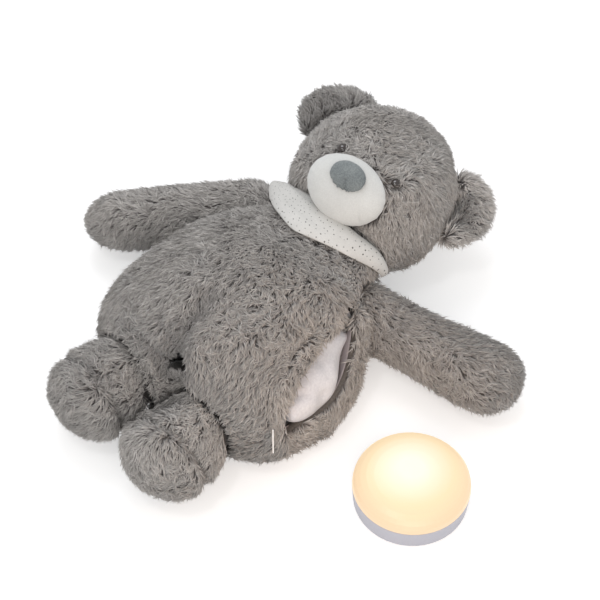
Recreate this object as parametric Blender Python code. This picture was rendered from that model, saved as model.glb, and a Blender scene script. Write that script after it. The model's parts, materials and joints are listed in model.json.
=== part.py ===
"""Plush bear that lies on its back, with its round night light standing beside it.

The row's frame has its origin on the floor under the belly. The bear's head is towards +Y,
its belly is up, and its own left side is towards +X. All sizes are in metres and all angles
in degrees. A value whose name ends in share or shares is a part of the size that it follows.
"""

import math

import bmesh
import bpy
from mathutils import Matrix, Vector

# Clearances and small values that every piece shares
SEAM_GAP = 0.0003
SWING_GAP = 0.0006
OVERRUN = 0.02
TINY = 0.000001

# Torso: a sack of stuffed plush that lies flat, cut off square at the neck seam. Each row of
# shares is a place along it, then its width, its height, where it is widest, how steep its
# lower side is and how far it leans to its left.
TORSO_WIDTH = 0.1665
TORSO_DEPTH = 0.094
TORSO_X = 0.0172
TORSO_Y = 0.012
CHEST_LENGTH = 0.1
BELLY_LENGTH = 0.093
NECK_SEAM_Y = 0.0875
SEAT_FULLNESS = 3.6
SEAT_SQUARENESS = 2.7
TORSO_SHARES = (
    (0.0, 1.08, 1.0, 0.3, 1.7, 0.0),
    (0.14, 1.07, 1.0, 0.28, 2.0, 0.0),
    (0.3, 1.04, 1.02, 0.28, 2.0, 0.0),
    (0.5, 0.97, 0.98, 0.29, 2.0, -0.01),
    (0.7, 0.9, 0.78, 0.33, 1.7, -0.03),
    (0.82, 0.79, 0.73, 0.38, 1.2, -0.025),
    (1.0, 0.74, 0.72, 0.43, 1.1, -0.025),
)

# Head: a ball with full cheeks, cut off square at the neck seam, on a neck that turns
HEAD_WIDTH = 0.111
HEAD_LENGTH = 0.118
HEAD_DEPTH = 0.1
HEAD_X = 0.0115
HEAD_Y = 0.1305
HEAD_Z = 0.0525
HEAD_SHARES = ((0.0, 1.0, 1.0, 0.05), (0.3, 1.05, 1.0, 0.03), (0.6, 1.0, 1.0, 0.0), (1.0, 0.96, 1.0, 0.0))

# Face: the frame that its pieces share is rolled and turned from the body's. A piece's place
# is a direction from the middle of the head, turned to a side and lifted towards the crown.
FACE_ROLL = 5.7
FACE_TURN = 10.9
MUZZLE_WIDTH = 0.056
MUZZLE_LENGTH = 0.0435
MUZZLE_PROUD = 0.0155
MUZZLE_SIDE = -2.0
MUZZLE_LIFT = -47.0
MUZZLE_TILT = -50.0
NOSE_WIDTH = 0.027
NOSE_LENGTH = 0.021
NOSE_PROUD = 0.0035
NOSE_LIFT = -39.5
EYE_DIAMETER = 0.0075
EYE_TURN = 26.0
EYE_LIFT = -22.0
EAR_WIDTH = 0.06
EAR_HEIGHT = 0.05
EAR_THICKNESS = 0.024
EAR_REACH = 0.0565
LEFT_EAR_LIFT = 24.0
RIGHT_EAR_LIFT = 32.0
EAR_CUP = 12.0

# Arms: each is a pad that swells from its shoulder ball to its paw, and lifts off the floor.
# A shoulder's share is its place across the torso's width, to the left of its middle.
ARM_RAISE = 40.0
ARM_ROOT_RADIUS = 0.0235
ARM_AXIS_Z = 0.0242
ARM_WIDTH = 0.05
ARM_THICKNESS = 0.046
LEFT_SHOULDER_SHARE = 0.2931
LEFT_SHOULDER_Y = 0.0622
LEFT_ARM_LENGTH = 0.111
LEFT_ARM_TURN = 7.5
LEFT_ARM_SHARES = ((0.0, 0.9, 0.98), (0.35, 0.9, 0.92), (0.7, 1.04, 0.9), (1.0, 1.04, 0.92))
RIGHT_SHOULDER_SHARE = -0.4126
RIGHT_SHOULDER_Y = 0.0795
RIGHT_ARM_LENGTH = 0.1115
RIGHT_ARM_TURN = 226.0
RIGHT_ARM_SHARES = ((0.0, 0.94, 0.98), (0.35, 0.94, 0.95), (0.7, 0.88, 0.88), (1.0, 0.76, 0.86))

# Legs: each is a short thick tube whose rounded foot points away from the head. They lie side
# by side, so a hip's share is its place in leg widths, to the left of the torso's middle.
LEG_RAISE = 30.0
LEG_ROOT_RADIUS = 0.026
LEG_AXIS_Z = 0.0295
LEG_WIDTH = 0.0665
LEG_THICKNESS = 0.058
LEFT_HIP_SHARE = 0.4031
LEFT_HIP_Y = -0.0785
LEFT_LEG_LENGTH = 0.048
LEFT_LEG_TURN = 272.0
RIGHT_HIP_SHARE = -0.5293
RIGHT_HIP_Y = -0.0775
RIGHT_LEG_LENGTH = 0.047
RIGHT_LEG_TURN = 264.0
LEG_SHARES = ((0.0, 0.84, 0.89), (0.4, 0.95, 0.95), (0.75, 1.0, 1.0), (1.0, 1.0, 1.0))

# Bandana: a folded cotton band round the neck, widest over the chest
BANDANA_THICKNESS = 0.0018
BANDANA_CHEST_WIDTH = 0.031
BANDANA_NAPE_WIDTH = 0.006
BANDANA_EDGE_GAP = 0.0035
BANDANA_LEFT_END = 15.0
BANDANA_LEFT_FULL = 85.0
BANDANA_RIGHT_FULL = 104.0
BANDANA_RIGHT_END = 152.0

# Night light: a round base on grip pads, under a low dome, three cells inside. It stands off
# the flank by the distance to its middle.
LIGHT_DIAMETER = 0.072
LIGHT_HEIGHT = 0.0265
LIGHT_SEAM_Z = 0.015
LIGHT_STAND_OFF = 0.06255
LIGHT_Y = -0.0136
LIGHT_TURN = 135.0
BASE_WALL = 0.0018
BASE_FLOOR = 0.0018
BASE_TAPER = 0.001
BASE_CHAMFER = 0.0008
DOME_WALL = 0.0016
DOME_LIP_DEPTH = 0.003
DOME_SQUARENESS = 2.6
GRIP_PAD_RADIUS = 0.004
GRIP_PAD_PROUD = 0.0005
GRIP_PAD_SINK = 0.0008
GRIP_PAD_REACH = 0.0245
GRIP_PAD_SPREAD = 150.0
CELL_DIAMETER = 0.0105
CELL_LENGTH = 0.0445
CELL_CAP_DIAMETER = 0.0038
CELL_CAP_LENGTH = 0.0008
SPRING_LENGTH = 0.0022
SPRING_DIAMETER = 0.006
CONTACT_THICKNESS = 0.0004
CONTACT_HEIGHT = 0.007
TRAY_WALL = 0.0012
TRAY_LUG_WIDTH = 0.007
TRAY_LUG_LENGTH = 0.005
COVER_MARGIN = 0.0006
PLATE_THICKNESS = 0.0014
BOSS_RADIUS = 0.0029
BOSS_SIDE = 0.015
SCREW_RADIUS = 0.001
SCREW_LENGTH = 0.0075
SCREW_HEAD_RADIUS = 0.002
SCREW_HEAD_HEIGHT = 0.0008
BOARD_RADIUS = 0.021
BOARD_THICKNESS = 0.001
LED_WIDTH = 0.0028
LED_HEIGHT = 0.001
LED_RING_RADIUS = 0.0135
LED_COUNT = 4
LEAD_RADIUS = 0.0006
LEAD_SIDE = 0.009
LEAD_LAP = 0.003

# Power button: a round cap in the base's wall, on the side towards the bear
BUTTON_RADIUS = 0.0032
BUTTON_PROUD = 0.0013
BUTTON_TRAVEL = 0.001
BUTTON_Z = 0.0075
BUTTON_FLANGE_RADIUS = 0.0042
BUTTON_FLANGE = 0.001
SWITCH_LENGTH = 0.006
SWITCH_WIDTH = 0.007
SWITCH_HEIGHT = 0.008

# Light pocket: a satin bag in the left flank, along the way that the light slides in
SLIDE_SLOPE = 16.5
SLIDE_TURN = -8.0
SLIDE_TRAVEL = 0.115
POCKET_CLEARANCE = 0.002
POCKET_WALL = 0.0012
MOUTH_FLARE_DEPTH = 0.02645
MOUTH_FLARE_SLOPE = 0.9
STRIP_LENGTH = 0.044
STRIP_WIDTH = 0.008
STRIP_THICKNESS = 0.0008
STRIP_INSET = 0.016

# Care label: a blank tab sewn into the pocket's seam
LABEL_LENGTH = 0.01
LABEL_WIDTH = 0.016
LABEL_THICKNESS = 0.0008
LABEL_INSET = 0.014
LABEL_Y = -0.0525
LABEL_Z = 0.04
LABEL_TURN = -49.0

# Edges steeper than this angle stay sharp
SHARP_ANGLE = 35.0

# Counts of facets
TORSO_FACETS = (40, 28)
HEAD_FACETS = (32, 22)
LIMB_FACETS = (20, 16)
PAD_FACETS = (24, 16)
BEAD_FACETS = (12, 8)
TURNED_FACETS = 48
SMALL_FACETS = 16
PAD_CIRCLE = 20
POCKET_FACETS = 9
DOME_FACETS = 8
MOUTH_FACETS = 8
BAND_FACETS = 48

# Colours as red, green and blue between 0 and 1
PLUSH_GREY = (0.2, 0.185, 0.175)
COTTON_WHITE = (0.72, 0.72, 0.71)
VELOUR_WHITE = (0.68, 0.67, 0.64)
VELOUR_GREY = (0.25, 0.27, 0.28)
BEAD_BROWN = (0.03, 0.017, 0.011)
SATIN_WHITE = (0.62, 0.58, 0.56)
TAPE_GREY = (0.33, 0.3, 0.31)
BASE_LAVENDER = (0.58, 0.55, 0.6)
DOME_CREAM = (0.9, 0.8, 0.58)
RUBBER_GREY = (0.2, 0.2, 0.2)
PLATE_WHITE = (0.8, 0.8, 0.8)
BOARD_GREEN = (0.05, 0.22, 0.1)
LED_YELLOW = (0.9, 0.75, 0.3)
LEAD_RED = (0.5, 0.05, 0.04)
CELL_BLUE = (0.12, 0.2, 0.35)
METAL_GREY = (0.6, 0.6, 0.62)
SWITCH_BLACK = (0.03, 0.03, 0.03)

MATERIALS = {}


def material(name, colour, roughness, metallic=0.0):
    """The Principled BSDF material of this name, made the first time it is asked for."""
    if name not in MATERIALS:
        made = bpy.data.materials.new(name)
        made.use_nodes = True
        shader = made.node_tree.nodes["Principled BSDF"]
        shader.inputs["Base Color"].default_value = (*colour, 1.0)
        shader.inputs["Roughness"].default_value = roughness
        shader.inputs["Metallic"].default_value = metallic
        MATERIALS[name] = made
    return MATERIALS[name]


def plush():
    return material("plush", PLUSH_GREY, 0.9)


def add(name, bm, finish=None, origin=(0.0, 0.0, 0.0)):
    """Puts a bmesh into the scene with its origin at a place. A cutter has no finish."""
    mesh = bpy.data.meshes.new(name)
    bmesh.ops.translate(bm, verts=bm.verts, vec=-Vector(origin))
    bm.to_mesh(mesh)
    bm.free()
    mesh.shade_smooth()
    mesh.set_sharp_from_angle(angle=math.radians(SHARP_ANGLE))
    thing = bpy.data.objects.new(name, mesh)
    thing.location = origin
    bpy.context.scene.collection.objects.link(thing)
    if finish:
        mesh.materials.append(finish)
    else:
        thing.hide_render = True
        thing.display_type = "WIRE"
    return thing


def combine(target, cutter, operation="DIFFERENCE"):
    """Cuts the target by another object, or joins or meets it."""
    boolean = target.modifiers.new(cutter.name, "BOOLEAN")
    boolean.operation = operation
    boolean.solver = "EXACT"
    boolean.object = cutter
    return target


def between(table, share):
    """Reads a table of stations at a share of its length, easing from one to the next."""
    for low, high in zip(table, table[1:]):
        if share <= high[0]:
            part = (share - low[0]) / (high[0] - low[0])
            ease = part * part * (3 - 2 * part)
            return [a + (b - a) * ease for a, b in zip(low[1:], high[1:])]
    return list(table[-1][1:])


def ball(facets):
    """A unit ball whose poles lie along Y."""
    bm = bmesh.new()
    bmesh.ops.create_uvsphere(bm, u_segments=facets[0], v_segments=facets[1], radius=1.0)
    bmesh.ops.rotate(bm, verts=bm.verts, matrix=Matrix.Rotation(-math.pi / 2, 3, "X"))
    return bm


def cut_flat(bm, point, normal):
    """Cuts a closed bmesh off on the side that the normal points to, and closes the cut."""
    result = bmesh.ops.bisect_plane(
        bm,
        geom=bm.verts[:] + bm.edges[:] + bm.faces[:],
        plane_co=point,
        plane_no=normal,
        clear_outer=True,
    )
    edges = [piece for piece in result["geom_cut"] if isinstance(piece, bmesh.types.BMEdge)]
    if edges:
        bmesh.ops.contextual_create(bm, geom=edges)
    bmesh.ops.recalc_face_normals(bm, faces=bm.faces)


def torso_point(x, y, z, grow):
    """Where a point of the unit ball lies on the torso, pushed out by grow."""
    size = math.hypot(x, z)
    if y < 0 and size > TINY:
        full = (1 - min(1.0, -y) ** SEAT_FULLNESS) ** (1 / SEAT_SQUARENESS) / size
        x *= full
        z *= full
    wide, deep, waist, steep, lean = between(TORSO_SHARES, (y + 1) / 2)
    rise = TORSO_DEPTH * (1 - waist) if z > 0 else TORSO_DEPTH * waist * steep
    half_length = BELLY_LENGTH if y < 0 else CHEST_LENGTH
    return Vector((
        TORSO_X + TORSO_WIDTH * lean + x * (TORSO_WIDTH / 2 * wide + grow),
        TORSO_Y + y * (half_length + grow),
        TORSO_DEPTH * waist + z * (rise * deep + grow),
    ))


def torso_shape(grow=0.0):
    """The torso's outer shape, pushed out all round by grow."""
    bm = ball(TORSO_FACETS)
    for vert in bm.verts:
        vert.co = torso_point(*vert.co, grow)
    cut_flat(bm, (0, 0, 0), (0, 0, -1))
    cut_flat(bm, (0, NECK_SEAM_Y + grow, 0), (0, 1, 0))
    return bm


def head_shape(grow=0.0):
    """The head's outer shape, pushed out all round by grow."""
    bm = ball(HEAD_FACETS)
    for vert in bm.verts:
        x, y, z = vert.co
        wide, deep, lean = between(HEAD_SHARES, (y + 1) / 2)
        vert.co = Vector((
            HEAD_X + HEAD_WIDTH * lean + x * (HEAD_WIDTH / 2 * wide + grow),
            HEAD_Y + y * (HEAD_LENGTH / 2 + grow),
            HEAD_Z + z * (HEAD_DEPTH / 2 * deep + grow),
        ))
    cut_flat(bm, (0, NECK_SEAM_Y + SEAM_GAP, 0), (0, -1, 0))
    return bm


def limb_shape(root_radius, length, width, thickness, shares, grow=0.0):
    """A limb along +X whose root is a ball round the origin, pushed out by grow."""
    bm = ball(LIMB_FACETS)
    root_share = 0.28
    blunt_share = 0.85
    for vert in bm.verts:
        size = math.hypot(vert.co.x, vert.co.z)
        along = math.acos(max(-1.0, min(1.0, -vert.co.y))) / math.pi
        if along < root_share:
            angle = along / root_share * math.pi / 2
            reach = -(root_radius + grow) * math.cos(angle)
            wide = deep = (root_radius + grow) * math.sin(angle)
        else:
            angle = (along - root_share) / (1 - root_share) * math.pi / 2
            reach = length * math.sin(angle)
            wide, deep = between(shares, reach / length)
            start = length - thickness / 2 / blunt_share
            end = max(0.0, (reach - start) / (length - start))
            round_off = math.sqrt(max(0.0, 1 - end ** (2 / blunt_share)))
            wide = width / 2 * wide * round_off + grow
            deep = thickness / 2 * deep * round_off + grow
            reach += grow * end
        side = Vector((vert.co.x, vert.co.z)) / size if size > TINY else Vector((0, 0))
        if size <= TINY:
            wide = deep = 0.0
        vert.co = Vector((reach, -side.x * wide, side.y * deep))
    return bm


def place_limb(bm, root, turn, raised=0.0):
    """Lifts a limb's far end, turns it about Z and moves its root to its place."""
    lift = Matrix.Rotation(-math.radians(raised), 4, "Y")
    swing = Matrix.Rotation(math.radians(turn), 4, "Z")
    bmesh.ops.transform(bm, verts=bm.verts, matrix=Matrix.Translation(root) @ swing @ lift)
    return bm


def face_frame(turn, lift):
    """Turns the face's own frame so that its Z axis points along a direction of the face."""
    return (
        Matrix.Rotation(math.radians(FACE_ROLL), 3, "Z")
        @ Matrix.Rotation(math.radians(FACE_TURN), 3, "Y")
        @ Matrix.Rotation(math.radians(turn), 3, "Y")
        @ Matrix.Rotation(-math.radians(lift), 3, "X")
    )


def on_head(turn, lift, out=0.0):
    """The point of the head's skin in a direction of the face, moved out along it."""
    way = face_frame(turn, lift) @ Vector((0, 0, 1))
    half = Vector((HEAD_WIDTH / 2, HEAD_LENGTH / 2, HEAD_DEPTH / 2))
    reach = 1 / math.sqrt(sum((way[i] / half[i]) ** 2 for i in range(3)))
    return Vector((HEAD_X, HEAD_Y, HEAD_Z)) + way * (reach + out)


def pad_shape(width, length, thickness, centre, turned, grow=0.0):
    """A pad like a flattened ball, whose flat sides face its own Z axis."""
    bm = ball(PAD_FACETS)
    half = Vector((width / 2 + grow, length / 2 + grow, thickness / 2 + grow))
    for vert in bm.verts:
        vert.co = turned @ Vector([vert.co[i] * half[i] for i in range(3)]) + centre
    return bm


def skin(rings, around=True, ends=True):
    """Joins rings of points, in their order, into one closed skin."""
    bm = bmesh.new()
    rows = [[bm.verts.new(point) for point in ring] for ring in rings]
    pairs = list(zip(rows, rows[1:]))
    if around:
        pairs.append((rows[-1], rows[0]))
    for low, high in pairs:
        for i in range(len(low)):
            bm.faces.new((low[i - 1], low[i], high[i], high[i - 1]))
    if ends and not around:
        bm.faces.new(rows[0])
        bm.faces.new(rows[-1])
    bmesh.ops.recalc_face_normals(bm, faces=bm.faces)
    return bm


def box(low, high):
    """A closed box between two corners."""
    bm = bmesh.new()
    bmesh.ops.create_cube(bm, size=1.0)
    low = Vector(low)
    high = Vector(high)
    middle = (low + high) / 2
    for vert in bm.verts:
        vert.co = middle + Vector([vert.co[i] * (high[i] - low[i]) for i in range(3)])
    return bm


def cylinder(radius, low, high, x=0.0, y=0.0, facets=SMALL_FACETS):
    """An upright cylinder between two heights."""
    bm = bmesh.new()
    place = Matrix.Translation((x, y, (low + high) / 2))
    bmesh.ops.create_cone(
        bm,
        cap_ends=True,
        segments=facets,
        radius1=radius,
        radius2=radius,
        depth=high - low,
        matrix=place,
    )
    return bm


def turned(profile, facets=TURNED_FACETS, closed=False):
    """Spins a profile of radius and height pairs round Z into a closed skin."""
    bm = bmesh.new()
    verts = [bm.verts.new((radius, 0.0, height)) for radius, height in profile]
    edges = [bm.edges.new(pair) for pair in zip(verts, verts[1:])]
    if closed:
        edges.append(bm.edges.new((verts[-1], verts[0])))
    bmesh.ops.spin(
        bm,
        geom=verts + edges,
        axis=(0, 0, 1),
        cent=(0, 0, 0),
        angle=2 * math.pi,
        steps=facets,
        use_merge=True,
    )
    bmesh.ops.remove_doubles(bm, verts=bm.verts, dist=TINY)
    bmesh.ops.recalc_face_normals(bm, faces=bm.faces)
    return bm


def merged(parts):
    """Puts several closed bmeshes that don't touch side by side in one."""
    whole = bmesh.new()
    for part in parts:
        mesh = bpy.data.meshes.new("part")
        part.to_mesh(mesh)
        part.free()
        whole.from_mesh(mesh)
        bpy.data.meshes.remove(mesh)
    return whole


def moved(bm, matrix):
    """Moves a whole bmesh by a matrix."""
    bmesh.ops.transform(bm, verts=bm.verts, matrix=matrix)
    return bm


for left_over in list(bpy.data.objects):
    bpy.data.objects.remove(left_over, do_unlink=True)


def across(share):
    """A place across the torso, as a share of its width to the left of its middle."""
    return TORSO_X + TORSO_WIDTH * share


# The bear's limbs, and for each the room that it sweeps from lying to fully raised
LIMBS = {
    "left_arm": (
        (ARM_ROOT_RADIUS, LEFT_ARM_LENGTH, ARM_WIDTH, ARM_THICKNESS, LEFT_ARM_SHARES),
        (across(LEFT_SHOULDER_SHARE), LEFT_SHOULDER_Y, ARM_AXIS_Z),
        LEFT_ARM_TURN,
        ARM_RAISE,
    ),
    "right_arm": (
        (ARM_ROOT_RADIUS, RIGHT_ARM_LENGTH, ARM_WIDTH, ARM_THICKNESS, RIGHT_ARM_SHARES),
        (across(RIGHT_SHOULDER_SHARE), RIGHT_SHOULDER_Y, ARM_AXIS_Z),
        RIGHT_ARM_TURN,
        ARM_RAISE,
    ),
    "left_leg": (
        (LEG_ROOT_RADIUS, LEFT_LEG_LENGTH, LEG_WIDTH, LEG_THICKNESS, LEG_SHARES),
        (TORSO_X + LEG_WIDTH * LEFT_HIP_SHARE, LEFT_HIP_Y, LEG_AXIS_Z),
        LEFT_LEG_TURN,
        LEG_RAISE,
    ),
    "right_leg": (
        (LEG_ROOT_RADIUS, RIGHT_LEG_LENGTH, LEG_WIDTH, LEG_THICKNESS, LEG_SHARES),
        (TORSO_X + LEG_WIDTH * RIGHT_HIP_SHARE, RIGHT_HIP_Y, LEG_AXIS_Z),
        RIGHT_LEG_TURN,
        LEG_RAISE,
    ),
}


def swept_room(sizes, root, turn, most):
    """The room that a limb sweeps from lying to fully raised, with its clearance."""
    bm = bmesh.new()
    for share in (0.0, 0.5, 1.0):
        pose = place_limb(limb_shape(*sizes, SWING_GAP), root, turn, most * share)
        for vert in pose.verts:
            bm.verts.new(vert.co)
        pose.free()
    hull = bmesh.ops.convex_hull(bm, input=bm.verts[:])
    inner = [piece for piece in hull["geom_interior"] if isinstance(piece, bmesh.types.BMVert)]
    bmesh.ops.delete(bm, geom=inner, context="VERTS")
    bmesh.ops.recalc_face_normals(bm, faces=bm.faces)
    return bm


torso = add("torso", torso_shape(), plush())
for name, (sizes, root, turn, most) in LIMBS.items():
    add(name, place_limb(limb_shape(*sizes), root, turn), plush(), root)
    add(f"{name}_room", swept_room(sizes, root, turn, most))

# Head, and the face pieces that the head cuts off at its own skin
NECK = (HEAD_X, NECK_SEAM_Y, HEAD_Z)
add("head", head_shape(), plush(), NECK)
head_skin = add("head_skin", head_shape(SEAM_GAP))


def face_piece(name, bm, finish, *skins):
    """Adds a piece that stands on the head, cut off where it meets each skin under it."""
    piece = add(name, bm, finish, NECK)
    for under in skins:
        combine(piece, under)
    return piece


muzzle_size = (MUZZLE_WIDTH, MUZZLE_LENGTH, MUZZLE_PROUD * 2)
muzzle_centre = on_head(MUZZLE_SIDE, MUZZLE_LIFT)
muzzle_way = face_frame(MUZZLE_SIDE, MUZZLE_TILT)
velour = material("velour_white", VELOUR_WHITE, 0.9)
face_piece("muzzle", pad_shape(*muzzle_size, muzzle_centre, muzzle_way), velour, head_skin)
muzzle_skin = add(
    "muzzle_skin", pad_shape(*muzzle_size, muzzle_centre, muzzle_way, SEAM_GAP)
)

nose_way = face_frame(MUZZLE_SIDE, NOSE_LIFT)
nose_centre = on_head(MUZZLE_SIDE, NOSE_LIFT, MUZZLE_PROUD - NOSE_PROUD)
face_piece(
    "nose",
    pad_shape(NOSE_WIDTH, NOSE_LENGTH, NOSE_PROUD * 4, nose_centre, nose_way),
    material("velour_grey", VELOUR_GREY, 0.9),
    muzzle_skin,
    head_skin,
)

for name, side, lift in (("left", 1, LEFT_EAR_LIFT), ("right", -1, RIGHT_EAR_LIFT)):
    bead = ball(BEAD_FACETS)
    bmesh.ops.scale(bead, vec=(EYE_DIAMETER / 2,) * 3, verts=bead.verts)
    bmesh.ops.translate(bead, vec=on_head(side * EYE_TURN, EYE_LIFT), verts=bead.verts)
    face_piece(f"{name}_eye", bead, material("bead", BEAD_BROWN, 0.15), head_skin)

    centre = Vector((HEAD_X, HEAD_Y, HEAD_Z))
    spread = math.radians(lift)
    out = face_frame(0.0, 0.0) @ Vector((side * math.cos(spread), math.sin(spread), 0))
    facing = (
        face_frame(0.0, 0.0)
        @ Matrix.Rotation(-side * (math.pi / 2 - spread), 3, "Z")
        @ Matrix.Rotation(math.radians(EAR_CUP), 3, "X")
    )
    ear = pad_shape(EAR_WIDTH, EAR_HEIGHT, EAR_THICKNESS, centre + out * EAR_REACH, facing)
    face_piece(f"{name}_ear", ear, plush(), head_skin)


def bandana_shape():
    """A closed band that follows the neck's slope, wide over the chest and narrow behind."""
    rings = []
    for step in range(BAND_FACETS):
        turn = 360 * step / BAND_FACETS
        angle = math.radians(turn)
        rise = (turn - BANDANA_LEFT_END) / (BANDANA_LEFT_FULL - BANDANA_LEFT_END)
        fall = (BANDANA_RIGHT_END - turn) / (BANDANA_RIGHT_END - BANDANA_RIGHT_FULL)
        front = max(0.0, min(1.0, rise, fall))
        front = front * (2 - front)
        width = BANDANA_NAPE_WIDTH + (BANDANA_CHEST_WIDTH - BANDANA_NAPE_WIDTH) * front
        top = NECK_SEAM_Y - BANDANA_EDGE_GAP
        outer = []
        inner = []
        for row in range(5):
            y = (top - width * row / 4 - TORSO_Y) / CHEST_LENGTH
            size = math.sqrt(1 - y * y)
            place = (size * math.cos(angle), y, size * math.sin(angle))
            outer.append(torso_point(*place, SEAM_GAP * 2 + BANDANA_THICKNESS))
            inner.append(torso_point(*place, SEAM_GAP * 2))
        rings.append(outer + inner[::-1])
    return skin(rings)


bandana = add("bandana", bandana_shape(), material("cotton", COTTON_WHITE, 0.85))
for name in ("left_arm", "right_arm"):
    combine(bandana, bpy.data.objects[f"{name}_room"])

# Night light's way into the pocket: it slides towards the belly and rises at the slope
SLOPE = math.tan(math.radians(SLIDE_SLOPE))
FLANK_X = across(1 / 2)
MOUTH_FLARE_X = FLANK_X - MOUTH_FLARE_DEPTH
LIGHT_X = FLANK_X + LIGHT_STAND_OFF
LIGHT_RADIUS = LIGHT_DIAMETER / 2
END_X = LIGHT_X - SLIDE_TRAVEL * math.cos(math.radians(SLIDE_SLOPE))
POCKET_PLACE = (
    Matrix.Translation((LIGHT_X, LIGHT_Y, 0))
    @ Matrix.Rotation(math.radians(SLIDE_TURN), 4, "Z")
    @ Matrix.Translation((-LIGHT_X, 0, 0))
)


def light_chord(y, grow):
    """Half the light's length along its way, at y beside its middle."""
    across = y / (LIGHT_RADIUS + POCKET_CLEARANCE + grow)
    return LIGHT_RADIUS * math.sqrt(max(0.0, 1 - across * across))


def pocket_floor(x, y, grow=0.0):
    """The lowest height that the light has over a spot on its way in."""
    return (LIGHT_X - x - light_chord(y, grow)) * SLOPE - POCKET_CLEARANCE - grow


def pocket_roof(x, y, grow=0.0):
    """The highest height that the light has over a spot, raised where the mouth flares."""
    centre_x = max(END_X, x - light_chord(y, grow))
    flare = max(0.0, x - MOUTH_FLARE_X + grow) * MOUTH_FLARE_SLOPE
    flare *= (light_chord(y, grow) / LIGHT_RADIUS) ** 2
    return LIGHT_HEIGHT + (LIGHT_X - centre_x) * SLOPE + POCKET_CLEARANCE + grow + flare


def pocket_shape(grow, mouth_x):
    """The room that the light sweeps, with its clearance, pushed out by grow."""
    radius = LIGHT_RADIUS + POCKET_CLEARANCE + grow
    stations = []
    for step in range(1, POCKET_FACETS + 1):
        angle = math.pi / 2 * step / POCKET_FACETS
        stations.append((END_X - radius * math.cos(angle), radius * math.sin(angle)))
    bends = [END_X + LIGHT_RADIUS * step / 4 for step in range(1, 5)]
    bends += [MOUTH_FLARE_X - grow, mouth_x]
    stations += [(x, radius) for x in sorted(bends)]
    steps = [math.cos(math.pi * step / MOUTH_FACETS) for step in range(MOUTH_FACETS + 1)]
    rings = []
    for x, half in stations:
        ring = [(x, half * step, pocket_roof(x, half * step, grow)) for step in steps]
        ring += [(x, half * step, pocket_floor(x, half * step, grow)) for step in steps[::-1]]
        rings.append(ring)
    return moved(skin(rings, around=False), POCKET_PLACE)


torso_room = add("torso_room", pocket_shape(POCKET_WALL + SEAM_GAP * 2, FLANK_X + OVERRUN))
for name in LIMBS:
    combine(torso_room, bpy.data.objects[f"{name}_room"], "UNION")
combine(torso, torso_room)
pocket = add(
    "light_pocket",
    pocket_shape(POCKET_WALL, FLANK_X + OVERRUN / 2),
    material("satin", SATIN_WHITE, 0.4),
)
combine(pocket, add("pocket_inside", pocket_shape(0.0, FLANK_X + OVERRUN)))
combine(pocket, add("flank_limit", torso_shape(-SEAM_GAP)), "INTERSECT")
combine(pocket, bpy.data.objects["left_arm_room"])


def strip_shape(far, height_at, way):
    """A closure strip across the mouth that stands off the pocket's floor or roof."""
    rings = []
    for step in range(MOUTH_FACETS + 1):
        y = STRIP_LENGTH * (step / MOUTH_FACETS - 0.5)
        ring = []
        for x, off in (
            (far - STRIP_WIDTH, SEAM_GAP * 2),
            (far, SEAM_GAP * 2),
            (far, SEAM_GAP * 2 + STRIP_THICKNESS),
            (far - STRIP_WIDTH, SEAM_GAP * 2 + STRIP_THICKNESS),
        ):
            ring.append((x, y, height_at(x, y) + way * off))
        rings.append(ring)
    return moved(skin(rings, around=False), POCKET_PLACE)


tape = material("closure_tape", TAPE_GREY, 0.8)
lower_edge = FLANK_X - STRIP_INSET
upper_edge = MOUTH_FLARE_X - SEAM_GAP
add("closure_strip_lower", strip_shape(lower_edge, pocket_floor, 1), tape)
add("closure_strip_upper", strip_shape(upper_edge, pocket_roof, -1), tape)

label_x = FLANK_X - LABEL_INSET
label = box(
    (-LABEL_LENGTH, -LABEL_THICKNESS / 2, -LABEL_WIDTH / 2),
    (LABEL_LENGTH, LABEL_THICKNESS / 2, LABEL_WIDTH / 2),
)
label_turn = Matrix.Rotation(math.radians(LABEL_TURN), 4, "Z")
moved(label, Matrix.Translation((label_x, LABEL_Y, LABEL_Z)) @ label_turn)
label = add("care_label", label, material("label", COTTON_WHITE, 0.7))
combine(label, add("torso_skin", torso_shape(SEAM_GAP)))

# Night light, modelled round its own axis with the button towards +X, then put in place
LIGHT_PLACE = Matrix.Translation((LIGHT_X, LIGHT_Y, 0)) @ Matrix.Rotation(
    math.radians(LIGHT_TURN), 4, "Z"
)
BASE_LOW = GRIP_PAD_PROUD
FLOOR_TOP = BASE_LOW + BASE_FLOOR
TRAY_LOW = FLOOR_TOP + SEAM_GAP
PLATE_LOW = TRAY_LOW + CELL_DIAMETER + SEAM_GAP
PLATE_HIGH = PLATE_LOW + PLATE_THICKNESS
LIP_RADIUS = LIGHT_RADIUS - BASE_WALL - SEAM_GAP


def base_radius(height):
    """The base's outer radius at a height, which tapers towards the floor."""
    return LIGHT_RADIUS - BASE_TAPER * (LIGHT_SEAM_Z - height) / (LIGHT_SEAM_Z - BASE_LOW)


def light_piece(name, bm, finish=None, origin=(0.0, 0.0, 0.0)):
    """Adds a piece of the night light, moved to where the light stands."""
    return add(name, moved(bm, LIGHT_PLACE), finish, LIGHT_PLACE @ Vector(origin))


base_plastic = material("base_plastic", BASE_LAVENDER, 0.45)
low_radius = base_radius(BASE_LOW)
light_base = light_piece(
    "light_base",
    turned((
        (0.0, BASE_LOW),
        (low_radius - BASE_CHAMFER, BASE_LOW),
        (low_radius, BASE_LOW + BASE_CHAMFER),
        (LIGHT_RADIUS, LIGHT_SEAM_Z),
        (LIGHT_RADIUS - BASE_WALL, LIGHT_SEAM_Z),
        (base_radius(FLOOR_TOP) - BASE_WALL, FLOOR_TOP),
        (0.0, FLOOR_TOP),
    )),
    base_plastic,
)


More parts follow.
